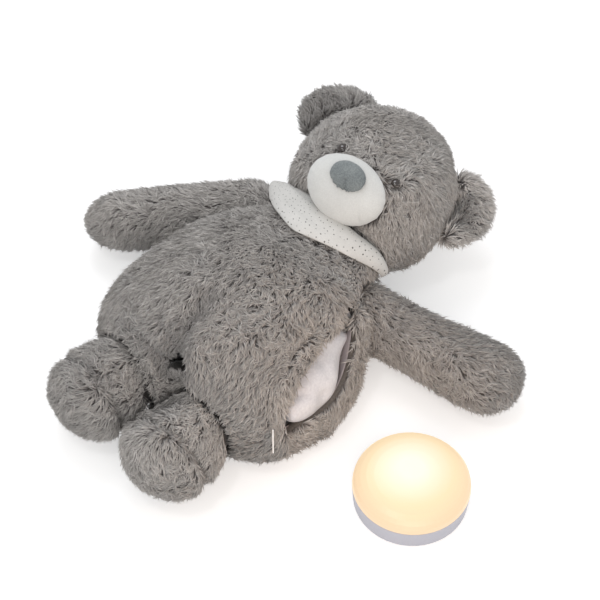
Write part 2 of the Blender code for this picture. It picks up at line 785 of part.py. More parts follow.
def dome_profile(inset):
    """The dome's side from its rim to its top, inset from the outside."""
    rise = LIGHT_HEIGHT - LIGHT_SEAM_Z - SEAM_GAP - inset
    radius = LIGHT_RADIUS - inset
    points = []
    for step in range(DOME_FACETS + 1):
        angle = math.pi / 2 * step / DOME_FACETS
        reach = radius * max(0.0, math.cos(angle)) ** (2 / DOME_SQUARENESS)
        height = rise * math.sin(angle) ** (2 / DOME_SQUARENESS)
        points.append((reach if step < DOME_FACETS else 0.0, LIGHT_SEAM_Z + SEAM_GAP + height))
    return points


lip_low = LIGHT_SEAM_Z - DOME_LIP_DEPTH
light_piece(
    "diffuser_dome",
    turned(
        dome_profile(0.0)[::-1]
        + [
            (LIP_RADIUS, LIGHT_SEAM_Z + SEAM_GAP),
            (LIP_RADIUS, lip_low),
            (LIP_RADIUS - DOME_WALL, lip_low),
        ]
        + dome_profile(LIGHT_RADIUS - LIP_RADIUS + DOME_WALL)
    ),
    material("diffuser", DOME_CREAM, 0.35),
)

# Cell tray: three cells side by side, their contacts at the ends
CELL_PITCH = CELL_DIAMETER + SEAM_GAP
TRAY_HALF_WIDTH = CELL_PITCH * 1.5 + SEAM_GAP / 2
END_ROOM = CONTACT_THICKNESS + SEAM_GAP * 2
TRAY_HALF_LENGTH = (CELL_LENGTH + SPRING_LENGTH + SEAM_GAP + END_ROOM * 2) / 2
TRAY_HIGH = PLATE_LOW - SEAM_GAP
CELL_Y = -TRAY_HALF_LENGTH + END_ROOM + SPRING_LENGTH + SEAM_GAP
LUG_END = TRAY_HALF_LENGTH + TRAY_WALL + TRAY_LUG_LENGTH
LUG_HEIGHT = (TRAY_HIGH - TRAY_LOW) / 2


def tray_box(half_width, half_length, low, high):
    """A box centred on the light's axis."""
    return box((-half_width, -half_length, low), (half_width, half_length, high))


outer_width = TRAY_HALF_WIDTH + TRAY_WALL
outer_length = TRAY_HALF_LENGTH + TRAY_WALL
tray = light_piece(
    "battery_tray",
    tray_box(outer_width, outer_length, TRAY_LOW, TRAY_HIGH),
    material("tray_plastic", PLATE_WHITE, 0.5),
)
lug = box(
    (-TRAY_LUG_WIDTH / 2, outer_length - TRAY_WALL / 2, TRAY_LOW),
    (TRAY_LUG_WIDTH / 2, LUG_END, TRAY_LOW + LUG_HEIGHT),
)
combine(tray, light_piece("tray_lug", lug), "UNION")
tray_room = tray_box(TRAY_HALF_WIDTH, TRAY_HALF_LENGTH, TRAY_LOW - OVERRUN, TRAY_HIGH + OVERRUN)
combine(tray, light_piece("tray_room", tray_room))


def cover_shape(grow, low, high):
    """The battery cover's outline, a plate with a tab at its screw end."""
    half_width = TRAY_HALF_WIDTH - COVER_MARGIN + grow
    half_length = TRAY_HALF_LENGTH - COVER_MARGIN + grow
    tab = TRAY_LUG_WIDTH / 2 + grow
    tab_end = LUG_END + grow
    plan = (
        (-half_width, -half_length),
        (half_width, -half_length),
        (half_width, half_length),
        (tab, half_length),
        (tab, tab_end),
        (-tab, tab_end),
        (-tab, half_length),
        (-half_width, half_length),
    )
    rings = [[(x, y, height) for x, y in plan] for height in (low, high)]
    return skin(rings, around=False)


base_cuts = [cover_shape(0.0, BASE_LOW - OVERRUN, FLOOR_TOP + OVERRUN)]
battery_cover = light_piece(
    "battery_cover", cover_shape(-SEAM_GAP, BASE_LOW, FLOOR_TOP), base_plastic
)

contact_metal = material("contact_metal", METAL_GREY, 0.3, 1.0)

# Cells lie on the cover, held between their springs and the plates
cell_z = FLOOR_TOP + SEAM_GAP + CELL_DIAMETER / 2
lay_down = Matrix.Rotation(-math.pi / 2, 4, "X")
for place in range(3):
    across = (place - 1) * CELL_PITCH
    cell = turned((
        (0.0, 0.0),
        (CELL_DIAMETER / 2, 0.0),
        (CELL_DIAMETER / 2, CELL_LENGTH - CELL_CAP_LENGTH),
        (CELL_CAP_DIAMETER / 2, CELL_LENGTH - CELL_CAP_LENGTH),
        (CELL_CAP_DIAMETER / 2, CELL_LENGTH),
        (0.0, CELL_LENGTH),
    ), PAD_CIRCLE)
    moved(cell, Matrix.Translation((across, CELL_Y, cell_z)) @ lay_down)
    light_piece(f"battery_{place + 1}", cell, material("cell", CELL_BLUE, 0.4))
    spring = turned((
        (0.0, 0.0),
        (SPRING_DIAMETER / 2, 0.0),
        (SPRING_DIAMETER / 4, SPRING_LENGTH),
        (0.0, SPRING_LENGTH),
    ), SMALL_FACETS)
    low_end = CELL_Y - SEAM_GAP - SPRING_LENGTH
    moved(spring, Matrix.Translation((across, low_end, cell_z)) @ lay_down)
    light_piece(f"battery_spring_{place + 1}", spring, contact_metal)
for count, way in enumerate((-1, 1), 1):
    near = TRAY_HALF_LENGTH - SEAM_GAP
    ends = sorted((way * near, way * (near - CONTACT_THICKNESS)))
    half_width = CELL_PITCH + CELL_DIAMETER / 3
    contact = box(
        (-half_width, ends[0], cell_z - CONTACT_HEIGHT / 2),
        (half_width, ends[1], cell_z + CONTACT_HEIGHT / 2),
    )
    light_piece(f"contact_plate_{count}", contact, contact_metal)


def screw_shape(tip, x, y, low=BASE_LOW, grow=0.0):
    """A screw that is flush with the base's underside, or its hole when it is pushed out."""
    head_high = BASE_LOW + SCREW_HEAD_HEIGHT + grow
    bm = turned((
        (0.0, low),
        (SCREW_HEAD_RADIUS + grow, low),
        (SCREW_HEAD_RADIUS + grow, head_high),
        (SCREW_RADIUS + grow, head_high),
        (SCREW_RADIUS + grow, tip + grow),
        (0.0, tip + grow),
    ), SMALL_FACETS)
    return moved(bm, Matrix.Translation((x, y, 0)))


def screw_hole(tip, x, y):
    """The hole that a screw needs, open below the base."""
    return screw_shape(tip, x, y, BASE_LOW - OVERRUN, SEAM_GAP)


# Reflector plate on three bosses, screwed down from under the base
plate_radius = LIP_RADIUS - DOME_WALL - SEAM_GAP
boss_x = TRAY_HALF_WIDTH + TRAY_WALL + BOSS_RADIUS + SEAM_GAP
BOSSES = ((-boss_x - BOSS_RADIUS, 0.0), (boss_x, BOSS_SIDE), (boss_x, -BOSS_SIDE))
screw_tip = BASE_LOW + SCREW_HEAD_HEIGHT + SCREW_LENGTH
reflector = light_piece(
    "reflector_plate",
    cylinder(plate_radius, PLATE_LOW, PLATE_HIGH, facets=TURNED_FACETS),
    material("reflector_plastic", PLATE_WHITE, 0.4),
)
boss_low = FLOOR_TOP + SEAM_GAP
boss_high = PLATE_LOW + PLATE_THICKNESS / 2
bosses = [cylinder(BOSS_RADIUS, boss_low, boss_high, x, y) for x, y in BOSSES]
combine(reflector, light_piece("bosses", merged(bosses)), "UNION")
plate_cuts = [screw_hole(screw_tip, x, y) for x, y in BOSSES]
base_cuts += [screw_hole(screw_tip, x, y) for x, y in BOSSES]
for count, (x, y) in enumerate(BOSSES, 1):
    light_piece(f"base_screw_{count}", screw_shape(screw_tip, x, y), contact_metal)

# Cover screw: through the cover's tab into the tray's lug
cover_screw_y = LUG_END - TRAY_LUG_LENGTH / 2
cover_screw_top = TRAY_LOW + LUG_HEIGHT - SEAM_GAP * 2
cover_hole = light_piece("cover_hole", screw_hole(cover_screw_top, 0.0, cover_screw_y))
combine(battery_cover, cover_hole)
combine(tray, cover_hole)
light_piece("cover_screw", screw_shape(cover_screw_top, 0.0, cover_screw_y), contact_metal)

# Grip pads: rubber discs let into the base's underside
rubber = material("grip_rubber", RUBBER_GREY, 0.8)
for count, spot in enumerate((0.0, GRIP_PAD_SPREAD, -GRIP_PAD_SPREAD), 1):
    x = GRIP_PAD_REACH * math.cos(math.radians(spot))
    y = GRIP_PAD_REACH * math.sin(math.radians(spot))
    room = GRIP_PAD_RADIUS + SEAM_GAP
    recess_high = BASE_LOW + GRIP_PAD_SINK
    base_cuts.append(cylinder(room, BASE_LOW - OVERRUN, recess_high, x, y, PAD_CIRCLE))
    pad_high = BASE_LOW + GRIP_PAD_SINK - SEAM_GAP
    light_piece(f"grip_pad_{count}", cylinder(GRIP_PAD_RADIUS, 0.0, pad_high, x, y, PAD_CIRCLE), rubber)

# Light board with a ring of light chips round one in the middle
board_low = PLATE_HIGH + SEAM_GAP
board_high = board_low + BOARD_THICKNESS
light_piece(
    "led_board",
    cylinder(BOARD_RADIUS, board_low, board_high, facets=TURNED_FACETS),
    material("board", BOARD_GREEN, 0.5),
)
for count in range(LED_COUNT + 1):
    angle = 2 * math.pi * count / LED_COUNT
    reach = LED_RING_RADIUS if count < LED_COUNT else 0.0
    x = reach * math.cos(angle)
    y = reach * math.sin(angle)
    low = board_high + SEAM_GAP
    half = LED_WIDTH / 2
    chip = box((x - half, y - half, low), (x + half, y + half, low + LED_HEIGHT))
    light_piece(f"led_{count + 1}", chip, material("led", LED_YELLOW, 0.3))

# Leads: from the contacts up through the reflector plate to the board
for count, way in enumerate((-1, 1), 1):
    x = way * LEAD_SIDE
    y = way * (TRAY_HALF_LENGTH + TRAY_WALL + LEAD_RADIUS * 2)
    room = LEAD_RADIUS + SEAM_GAP
    plate_cuts.append(cylinder(room, PLATE_LOW - OVERRUN, PLATE_HIGH + OVERRUN, x, y, 8))
    over_board = board_high + LEAD_RADIUS + SEAM_GAP
    path = (
        Vector((x, y, TRAY_LOW + LUG_HEIGHT + LEAD_RADIUS)),
        Vector((x, y, PLATE_HIGH)),
        Vector((x, y - way * LEAD_RADIUS, over_board)),
        Vector((x, way * (BOARD_RADIUS - LEAD_LAP), over_board)),
    )
    rings = []
    for bend, point in enumerate(path):
        before = path[max(bend - 1, 0)]
        after = path[min(bend + 1, len(path) - 1)]
        along = (after - before).normalized()
        side = Vector((1, 0, 0))
        over = along.cross(side)
        ring = []
        for step in range(6):
            angle = math.pi / 3 * step
            ring.append(point + (side * math.cos(angle) + over * math.sin(angle)) * LEAD_RADIUS)
        rings.append(ring)
    sleeve = material("lead_sleeve", LEAD_RED, 0.5)
    light_piece(f"light_lead_{count}", skin(rings, around=False), sleeve)

# Power button, its hole in the wall and the switch behind it
lie_out = Matrix.Rotation(math.pi / 2, 4, "Y")
flange_high = math.sqrt(
    (base_radius(BUTTON_Z - BUTTON_FLANGE_RADIUS) - BASE_WALL) ** 2 - BUTTON_FLANGE_RADIUS ** 2
) - SEAM_GAP
flange_low = flange_high - BUTTON_FLANGE
button_high = base_radius(BUTTON_Z) + BUTTON_PROUD
rounding = BUTTON_RADIUS / 4
button = turned((
    (0.0, flange_low),
    (BUTTON_FLANGE_RADIUS, flange_low),
    (BUTTON_FLANGE_RADIUS, flange_high),
    (BUTTON_RADIUS, flange_high),
    (BUTTON_RADIUS, button_high - rounding),
    (BUTTON_RADIUS - rounding, button_high),
    (0.0, button_high),
), PAD_CIRCLE)
button_place = Matrix.Translation((0, 0, BUTTON_Z)) @ lie_out
button_root = (flange_low, 0.0, BUTTON_Z)
light_piece("power_button", moved(button, button_place), base_plastic, button_root)
button_hole = cylinder(BUTTON_RADIUS + SEAM_GAP, flange_high, button_high + OVERRUN, facets=PAD_CIRCLE)
base_cuts.append(moved(button_hole, button_place))
combine(light_base, light_piece("base_cuts", merged(base_cuts)))
combine(reflector, light_piece("plate_cuts", merged(plate_cuts)))
switch_high = flange_low - BUTTON_TRAVEL - SEAM_GAP
light_piece(
    "button_switch",
    box(
        (switch_high - SWITCH_LENGTH, -SWITCH_WIDTH / 2, FLOOR_TOP + SEAM_GAP),
        (switch_high, SWITCH_WIDTH / 2, FLOOR_TOP + SEAM_GAP + SWITCH_HEIGHT),
    ),
    material("switch_plastic", SWITCH_BLACK, 0.5),
)
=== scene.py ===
"""Plush bear night light, dressed for the studio.

The bear is sewn from long-pile plush over stuffed forms. It wears a printed cotton bandana and
has a satin-lined pocket in its left flank, where the round night light belongs. The frame of the
CAD model holds throughout: metres, +Z up, the bear's head towards +Y and its own left side
towards +X.
"""

import json
import logging
import math
from dataclasses import dataclass, field
from enum import Enum
from functools import partial

import bmesh
import bpy
import numpy as np
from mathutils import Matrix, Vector, noise
from mathutils.bvhtree import BVHTree

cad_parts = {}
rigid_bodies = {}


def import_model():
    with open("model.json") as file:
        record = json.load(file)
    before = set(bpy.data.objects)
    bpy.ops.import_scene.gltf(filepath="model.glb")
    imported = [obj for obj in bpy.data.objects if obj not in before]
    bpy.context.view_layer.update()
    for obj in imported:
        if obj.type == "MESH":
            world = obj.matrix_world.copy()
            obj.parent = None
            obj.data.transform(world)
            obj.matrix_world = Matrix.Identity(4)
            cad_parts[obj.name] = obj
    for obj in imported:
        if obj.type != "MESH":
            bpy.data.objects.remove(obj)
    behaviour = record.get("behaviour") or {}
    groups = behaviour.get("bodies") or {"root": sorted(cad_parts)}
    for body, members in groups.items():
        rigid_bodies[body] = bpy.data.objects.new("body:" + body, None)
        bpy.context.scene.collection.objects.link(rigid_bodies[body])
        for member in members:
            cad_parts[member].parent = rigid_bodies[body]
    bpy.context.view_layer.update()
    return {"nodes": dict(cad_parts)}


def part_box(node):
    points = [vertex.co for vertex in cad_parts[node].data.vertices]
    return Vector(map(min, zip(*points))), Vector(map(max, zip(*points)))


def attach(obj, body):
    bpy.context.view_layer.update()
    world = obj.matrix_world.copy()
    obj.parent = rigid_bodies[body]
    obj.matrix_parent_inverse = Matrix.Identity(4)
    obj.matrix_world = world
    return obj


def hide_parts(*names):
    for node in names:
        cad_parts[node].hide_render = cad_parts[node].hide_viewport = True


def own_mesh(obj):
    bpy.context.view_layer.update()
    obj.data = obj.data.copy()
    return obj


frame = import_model()

log = logging.getLogger("plush_night_light")

Colour = tuple[float, float, float, float]
Point = tuple[float, float, float]
Rows = tuple[tuple[float, ...], ...]
Socket = bpy.types.NodeSocket
Tree = bpy.types.NodeTree

# The kinds of node that are used often
MATH = "ShaderNodeMath"
VECTOR = "ShaderNodeVectorMath"
NOISE = "ShaderNodeTexNoise"
CELLS = "ShaderNodeTexVoronoi"
RANGE = "ShaderNodeMapRange"
RAMP = "ShaderNodeValToRGB"
PRINCIPLED = "ShaderNodeBsdfPrincipled"
RANDOM = "FunctionNodeRandomValue"
NAMED = "GeometryNodeInputNamedAttribute"
STORE = "GeometryNodeStoreNamedAttribute"

# Millimetres in a metre
MM = 1000
# The stuffed forms swell as cloth over this many frames, under this pressure
SWELL_FRAMES = 20
SWELL_PRESSURE = 4.0
# A mark this deep makes a full fold in the cloth, and no pile grows past so many folds
FOLD_DEPTH = 0.0045
DEEPEST_FOLD = 1.85
# How far the skin and the strands stay above the floor
SKIN_GAP = 0.0004
STRAND_GAP = 0.0002
# The eddies in the pile: how large they are, and how strongly they turn it
EDDIES = ((0.03, 3.2), (0.0055, 2.5))
# The small locks of the pile: their size, their slimness and how strongly they draw together
LOCK_SIZE = 0.0024
LOCK_SLIMNESS = 0.3
LOCK_DRAW = 300.0
# What each tuft draws for itself, from least to most: how far it leans, how long and how wide
# it is, as shares of the pile's own, and how much paler it is
DRAWS = {"lean": (0.5, 1.1), "length": (0.6, 0.9), "width": (0.7, 1.3), "tone": (-0.01, 0.11)}
# Where the strands lie on their small picture: along it by shade, up it by height
CHART_REACH = 0.94
CHART_EDGE = 0.01
CHART_FOOT = 0.02
CHART_STRAND = (0.04, 0.3, 0.0)


class Held(Enum):
    """How a sheet of cloth is held."""

    DRAPED = "draped"
    STRETCHED = "stretched"


# Helpers


def linear(colour: str) -> Colour:
    """Turns an sRGB hex colour to linear values.

    Args:
        colour: Six hex digits after a leading mark.

    Returns:
        Red, green, blue and an alpha of one.
    """
    shares = [int(colour[place : place + 2], 16) / 255 for place in (1, 3, 5)]
    values = [s / 12.92 if s <= 0.04045 else ((s + 0.055) / 1.055) ** 2.4 for s in shares]
    return (*values, 1.0)


def add_node(
    tree: Tree,
    kind: str,
    inputs: dict[str | int, object] | None = None,
    out: int | str = 0,
    stops: dict[float, Colour] | None = None,
    **settings: object,
) -> Socket | None:
    """Adds a node with its settings, then fills or links its inputs.

    Args:
        tree: The node tree that gets it.
        kind: The node's type name.
        inputs: Values or output sockets, by the input's name or place.
        out: The output that is wanted, by its name or place.
        stops: A ramp's colours by their place, in order.
        settings: Properties set before the inputs, since some change the sockets.

    Returns:
        The wanted output, or nothing where the node has none.
    """
    node = tree.nodes.new(kind)
    for name, value in settings.items():
        setattr(node, name, value)
    for key, value in (inputs or {}).items():
        if isinstance(value, Socket):
            tree.links.new(value, node.inputs[key])
        else:
            node.inputs[key].default_value = value
    if stops:
        first, *middle, last = stops.items()
        for end, (place, colour) in zip(node.color_ramp.elements, (first, last)):
            end.position = place
            end.color = colour
        for place, colour in middle:
            node.color_ramp.elements.new(place).color = colour
    return node.outputs[out] if node.outputs else None


def new_object(name: str, data: bpy.types.ID) -> bpy.types.Object:
    """Puts a mesh, a lamp or a camera in the scene.

    Args:
        name: The object's name.
        data: What it shows.

    Returns:
        The new object, at the origin.
    """
    thing = bpy.data.objects.new(name, data)
    bpy.context.scene.collection.objects.link(thing)
    return thing


def from_bmesh(name: str, bm: bmesh.types.BMesh) -> bpy.types.Object:
    """Makes a smooth piece from a bmesh and frees it.

    Args:
        name: The piece's name.
        bm: Its shape, in the frame of the CAD model.

    Returns:
        The new object.
    """
    mesh = bpy.data.meshes.new(name)
    bm.to_mesh(mesh)
    bm.free()
    mesh.shade_smooth()
    return new_object(name, mesh)


def settle(thing: bpy.types.Object) -> None:
    """Applies an object's modifiers to its mesh."""
    graph = bpy.context.evaluated_depsgraph_get()
    graph.update()
    old = thing.data
    made = bpy.data.meshes.new_from_object(thing.evaluated_get(graph), depsgraph=graph)
    thing.modifiers.clear()
    thing.data = made
    made.name = thing.name
    if old.users == 0:
        bpy.data.meshes.remove(old)


def cad_copy(name: str, node: str) -> bpy.types.Object:
    """Copies a CAD node's mesh as a new piece, with its loose triangles joined.

    Args:
        name: The new piece's name.
        node: The CAD node.

    Returns:
        The new object.
    """
    bm = bmesh.new()
    bm.from_mesh(frame["nodes"][node].data)
    bmesh.ops.remove_doubles(bm, verts=bm.verts, dist=1e-5)
    return from_bmesh(name, bm)


def smooth_row(rows: Rows, share: float) -> list[float]:
    """Reads a smooth curve through rows of numbers.

    Args:
        rows: The rows that it passes through, evenly apart.
        share: How far along it, from 0 to 1.

    Returns:
        The row at that share.
    """
    last = len(rows) - 1
    low = min(int(share * last), last - 1)
    part = share * last - low
    near = [rows[min(max(low + step, 0), last)] for step in (-1, 0, 1, 2)]
    read = []
    for before, start, end, after in zip(*near):
        bend = 2 * before - 5 * start + 4 * end - after
        twist = 3 * (start - end) + after - before
        read.append(start + part / 2 * (end - before + part * (bend + part * twist)))
    return read


# Finishes


@dataclass(frozen=True)
class Finish:
    """A material that is built once, under its own name."""

    name: str

    def material(self) -> bpy.types.Material:
        """Gives the material, and builds it at its first use."""
        made = bpy.data.materials.get(self.name)
        if made is None:
            made = bpy.data.materials.new(self.name)
            made.use_nodes = True
            tree = made.node_tree
            tree.nodes.clear()
            add_node(tree, "ShaderNodeOutputMaterial", {"Surface": self.surface(tree)})
        return made

    def surface(self, tree: Tree) -> Socket:
        """Builds the nodes in the tree and gives the last shader."""
        raise NotImplementedError


@dataclass(frozen=True)
class PilePlush(Finish):
    """Brushed polyester pile: matt strands, darkened at the root as painted shade deep in the pile,
    and pale at the tip.

    The strands carry two attributes: how far along them a point lies, and their shade, which is
    partly random tone and partly painted shade.
    """

    name: str = "polyester_pile"
    root: str = "#5a5655"
    middle: str = "#aba7a4"
    tip: str = "#ccc8c4"
    darkest: float = 0.62
    palest: float = 1.34

    def surface(self, tree: Tree) -> Socket:
        """Colours each strand along its length, times its shade."""
        along = add_node(tree, "ShaderNodeAttribute", out="Fac", attribute_name="along")
        shade = add_node(tree, "ShaderNodeAttribute", out="Fac", attribute_name="shade")
        # The dark root is painted shade, standing in for the shade deep in the pile
        stops = {0.0: linear(self.root), 0.45: linear(self.middle), 1.0: linear(self.tip)}
        dyed = add_node(tree, RAMP, {"Fac": along}, stops=stops)
        levels = {"Value": shade, "To Min": self.darkest, "To Max": self.palest}
        level = add_node(tree, RANGE, levels)
        tint = add_node(tree, VECTOR, {0: dyed, "Scale": level}, operation="SCALE")
        look = {
            "Base Color": tint,
            "Roughness": 0.95,
            "Specular IOR Level": 0.25,
            "Sheen Weight": 0.25,
            "Sheen Roughness": 0.5,
        }
        return add_node(tree, PRINCIPLED, look)


@dataclass(frozen=True)
class Cloth(Finish):
    """A woven or knitted fabric: thread pattern, uneven dye and a soft sheen.

    A printed one has dots in two inks, laid out on the cloth's own weave map, in metres.
    """

    colour: str
    dark: str
    thread: float
    bump: float = 0.3
    roughness: float = 0.9
    sheen: float = 0.2
    specular: float = 0.3
    dots: float = 0.0
    inks: tuple[str, str] = ("#3b3a3a", "#9a9a98")
    cloud: float = 0.02

    def surface(self, tree: Tree) -> Socket:
        """Dyes and weaves the cloth in Object coordinates, darkened as painted shade in its folds.
        """
        place = add_node(tree, "ShaderNodeTexCoord", out="Object")
        cloudy = add_node(tree, NOISE, {"Vector": place, "Scale": 1 / self.cloud, "Detail": 3.0})
        weave = {"Vector": place, "Scale": 1 / self.thread, "Detail": 2.0, "Roughness": 0.7}
        grain = add_node(tree, NOISE, weave)
        mixed = add_node(tree, MATH, {0: cloudy, 1: grain}, operation="ADD")
        share = add_node(tree, RANGE, {"Value": mixed, "From Min": 0.7, "From Max": 1.3})
        stops = {0.0: linear(self.dark), 1.0: linear(self.colour)}
        dyed = add_node(tree, RAMP, {"Fac": share}, stops=stops)
        if self.dots:
            dyed = self._printed(tree, dyed)
        # Painted shade: the colour darkens with the fold's depth, to near black in the deepest
        fold = add_node(tree, "ShaderNodeAttribute", out="Fac", attribute_name="fold")
        painted_fold_shade = {"Value": fold, "From Max": 2.0, "To Min": 1.0, "To Max": 0.05}
        lit = add_node(tree, RANGE, painted_fold_shade)
        rise = {"Height": grain, "Strength": self.bump, "Distance": self.thread}
        look = {
            "Base Color": add_node(tree, VECTOR, {0: dyed, "Scale": lit}, operation="SCALE"),
            "Roughness": self.roughness,
            "Specular IOR Level": self.specular,
            "Sheen Weight": self.sheen,
            "Sheen Roughness": 0.4,
            "Normal": add_node(tree, "ShaderNodeBump", rise),
        }
        return add_node(tree, PRINCIPLED, look)

    def _printed(self, tree: Tree, ground: Socket) -> Socket:
        """Prints small dots, in two inks and not quite in rows, over the ground colour."""
        weave = add_node(tree, "ShaderNodeUVMap", uv_map="weave")
        grid = {"Vector": weave, "Scale": 1 / self.dots, "Randomness": 0.75}
        away = add_node(tree, CELLS, grid, voronoi_dimensions="2D")
        own = {"Color": away.node.outputs["Color"]}
        lot = add_node(tree, "ShaderNodeSeparateColor", own)
        reach = add_node(tree, RANGE, {"Value": lot, "To Min": 0.07, "To Max": 0.12})
        spot = add_node(tree, MATH, {0: away, 1: reach}, operation="LESS_THAN")
        stops = {0.0: linear(self.inks[0]), 0.6: linear(self.inks[1])}
        ink = add_node(tree, RAMP, {"Fac": lot.node.outputs["Green"]}, stops=stops)
        ink.node.color_ramp.interpolation = "CONSTANT"
        mix = {"Factor": spot, 6: ground, 7: ink}
        return add_node(tree, "ShaderNodeMix", mix, 2, data_type="RGBA")


@dataclass(frozen=True)
class Moulded(Finish):
    """A moulded plastic, metal or rubber: fine texture from the mould and a little unevenness."""

    colour: str
    roughness: float
    grain: float = 0.0005
    bump: float = 0.08
    metallic: float = 0.0
    specular: float = 0.5
    cloud: float = 0.012

    def surface(self, tree: Tree) -> Socket:
        """Works the colour, the gloss and the grain in Object coordinates."""
        place = add_node(tree, "ShaderNodeTexCoord", out="Object")
        grain = add_node(tree, NOISE, {"Vector": place, "Scale": 1 / self.grain, "Detail": 2.0})
        cloudy = add_node(tree, NOISE, {"Vector": place, "Scale": 1 / self.cloud, "Detail": 3.0})
        worn = {
            "Value": cloudy,
            "To Min": self.roughness * 0.85,
            "To Max": min(1.0, self.roughness * 1.15),
        }
        pale = linear(self.colour)
        deep = (pale[0] * 0.93, pale[1] * 0.93, pale[2] * 0.93, 1.0)
        rise = {"Height": grain, "Strength": self.bump, "Distance": self.grain}
        look = {
            "Base Color": add_node(tree, RAMP, {"Fac": cloudy}, stops={0.0: deep, 1.0: pale}),
            "Roughness": add_node(tree, RANGE, worn),
            "Metallic": self.metallic,
            "Specular IOR Level": self.specular,
            "Normal": add_node(tree, "ShaderNodeBump", rise),
        }
        return add_node(tree, PRINCIPLED, look)


@dataclass(frozen=True)
class LitDiffuser(Finish):
    """Opal polycarbonate with the warm light of the chips behind it, hottest over them."""

    centre: Vector
    radius: float
    colour: str = "#8c8578"
    hot: str = "#fffbe8"
    warm: str = "#f8ddad"
    rim: str = "#f3cfa4"

    def surface(self, tree: Tree) -> Socket:
        """Makes the cover glow round the light's axis, hot in the middle and warm at the rim."""
        place = add_node(tree, "ShaderNodeTexCoord", out="Object")
        moved = {"Vector": place, "Location": -self.centre}
        moved = add_node(tree, "ShaderNodeMapping", moved)
        scale = (1 / self.radius, 1 / self.radius, 0.0)
        flat = add_node(tree, VECTOR, {0: moved, 1: scale}, operation="MULTIPLY")
        reach = add_node(tree, VECTOR, {0: flat}, 1, operation="LENGTH")
        stops = {0.2: linear(self.hot), 0.72: linear(self.warm), 1.0: linear(self.rim)}
        look = {
            "Base Color": linear(self.colour),
            "Roughness": 0.35,
            "Emission Color": add_node(tree, RAMP, {"Fac": reach}, stops=stops),
            "Emission Strength": 0.75,
        }
        return add_node(tree, PRINCIPLED, look)


@dataclass(frozen=True)
class Backdrop(Finish):
    """Matt white backdrop paper, lifted to white only where the camera or gloss sees it."""

    name: str = "backdrop_paper"
    grey: float = 0.72
    lift: float = 0.44

    def surface(self, tree: Tree) -> Socket:
        """Adds a glow for the camera, for gloss and for glass to a matt paper."""
        rays = add_node(tree, "ShaderNodeLightPath").node.outputs
        seen = rays["Is Camera Ray"]
        for ray in ("Is Glossy Ray", "Is Transmission Ray"):
            seen = add_node(tree, MATH, {0: seen, 1: rays[ray]}, operation="MAXIMUM")
        lift = add_node(tree, MATH, {0: seen, 1: self.lift}, operation="MULTIPLY")
        glow = add_node(tree, "ShaderNodeEmission", {"Strength": lift})
        grey = (self.grey, self.grey, self.grey, 1.0)
        matt = add_node(tree, "ShaderNodeBsdfDiffuse", {"Color": grey})
        return add_node(tree, "ShaderNodeAddShader", {0: matt, 1: glow})


# Knitted ground of the plush: seen only in folds, as a dark brown grey
BACKING = Cloth("knitted_plush_backing", "#6b6662", "#4a4643", 0.0012, 0.6)
# Short dense velour: matt and almost white, with a soft light along its edge
VELOUR_WHITE = Cloth("white_velour", "#d8d9d7", "#c9cac8", 0.0009, 0.25, 0.95, 0.4)
# The same velour dyed grey, mottled darker: uneven dye, and painted shade between its tufts
VELOUR_GREY = Cloth("grey_velour", "#8d9393", "#5f6669", 0.0009, 0.3, 0.95, 0.4)
# Satin: smoother than the rest, so a fold catches a pale streak
SATIN = Cloth("polyester_satin_lining", "#d8d8dc", "#c2c2c8", 0.0016, 0.15, 0.38, 0.3, 0.5)
# Thin matt cotton, printed with dots; the threads are drawn coarser than real ones, to show
COTTON = Cloth("printed_cotton", "#d3d2cf", "#c5c4c1", 0.0008, 0.25, 0.9, 0.15, dots=0.0038)
# Woven tape: a coarse matt grey
TAPE = Cloth("closure_tape", "#a1989a", "#857d80", 0.0009, 0.5)
# Woven nylon: bright, with a faint gloss
LABEL = Cloth("nylon_label", "#f2f1ef", "#e3e2e0", 0.0006, 0.2, 0.6)
# Polished glass-like bead: black brown with one sharp highlight
EYE_BEAD = Moulded("polished_eye_bead", "#21140e", 0.08, bump=0.0, specular=1.0)
# Moulded ABS with a satin face, in a cool lavender grey
SHELL = Moulded("abs_base_shell", "#b5b8c4", 0.42)
# Nickel and zinc plate: pale metal, half dull
NICKEL = Moulded("nickel_plated_steel", "#c9c9c9", 0.3, metallic=1.0)
SPRING = Moulded("nickel_plated_spring_steel", "#c9c9c9", 0.3, metallic=1.0)
ZINC = Moulded("zinc_plated_steel", "#b9bab8", 0.35, metallic=1.0)
# What each CAD node that stays is made of, by how its name starts
NODE_FINISHES = {
    "light_base": SHELL,
    "battery_cover": SHELL,
    "power_button": SHELL,
    # Silicone feet: dark and matt
    "grip_pad": Moulded("silicone_rubber_feet", "#55535a", 0.8),
    # Plain ABS inside: white, one part brighter than the other
    "battery_tray": Moulded("abs_cell_tray", "#e6e6e6", 0.5),
    "reflector_plate": Moulded("white_reflector_abs", "#f2f2f0", 0.4),
    # Glass-fibre board under a green varnish, and chips under yellow phosphor
    "led_board": Moulded("fibreglass_board", "#2f6b45", 0.45),
    "led_": Moulded("phosphor_resin", "#f4dd8c", 0.3),
    "battery_spring": SPRING,
    # Printed shrink sleeve: blue grey, with some gloss
    "battery_": Moulded("printed_cell_sleeve", "#54708f", 0.35),
    "contact_plate": NICKEL,
    "base_screw": ZINC,
    "cover_screw": ZINC,
    # Soft red PVC, and a hard black housing
    "light_lead": Moulded("pvc_lead_sleeve", "#b8322a", 0.5),
    "button_switch": Moulded("black_switch_housing", "#222222", 0.5),
    "closure_strip": TAPE,
    "care_label": LABEL,
}


def dress(
    piece: bpy.types.Object, finish: Finish, body: str, node: str | None = None
) -> bpy.types.Object:
    """Gives a piece its finish, its body and the node that it stands for.

    Args:
        piece: The finished shape.
        finish: Its material.
        body: The body that it rides.
        node: The CAD node that it replaces, if any.

    Returns:
        The same piece.
    """
    piece.data.materials.clear()
    piece.data.materials.append(finish.material())
    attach(piece, body)
    if node:
        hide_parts(node)
    log.info("%s: %d faces", piece.name, len(piece.data.polygons))
    return piece


# Stuffed forms and their pile


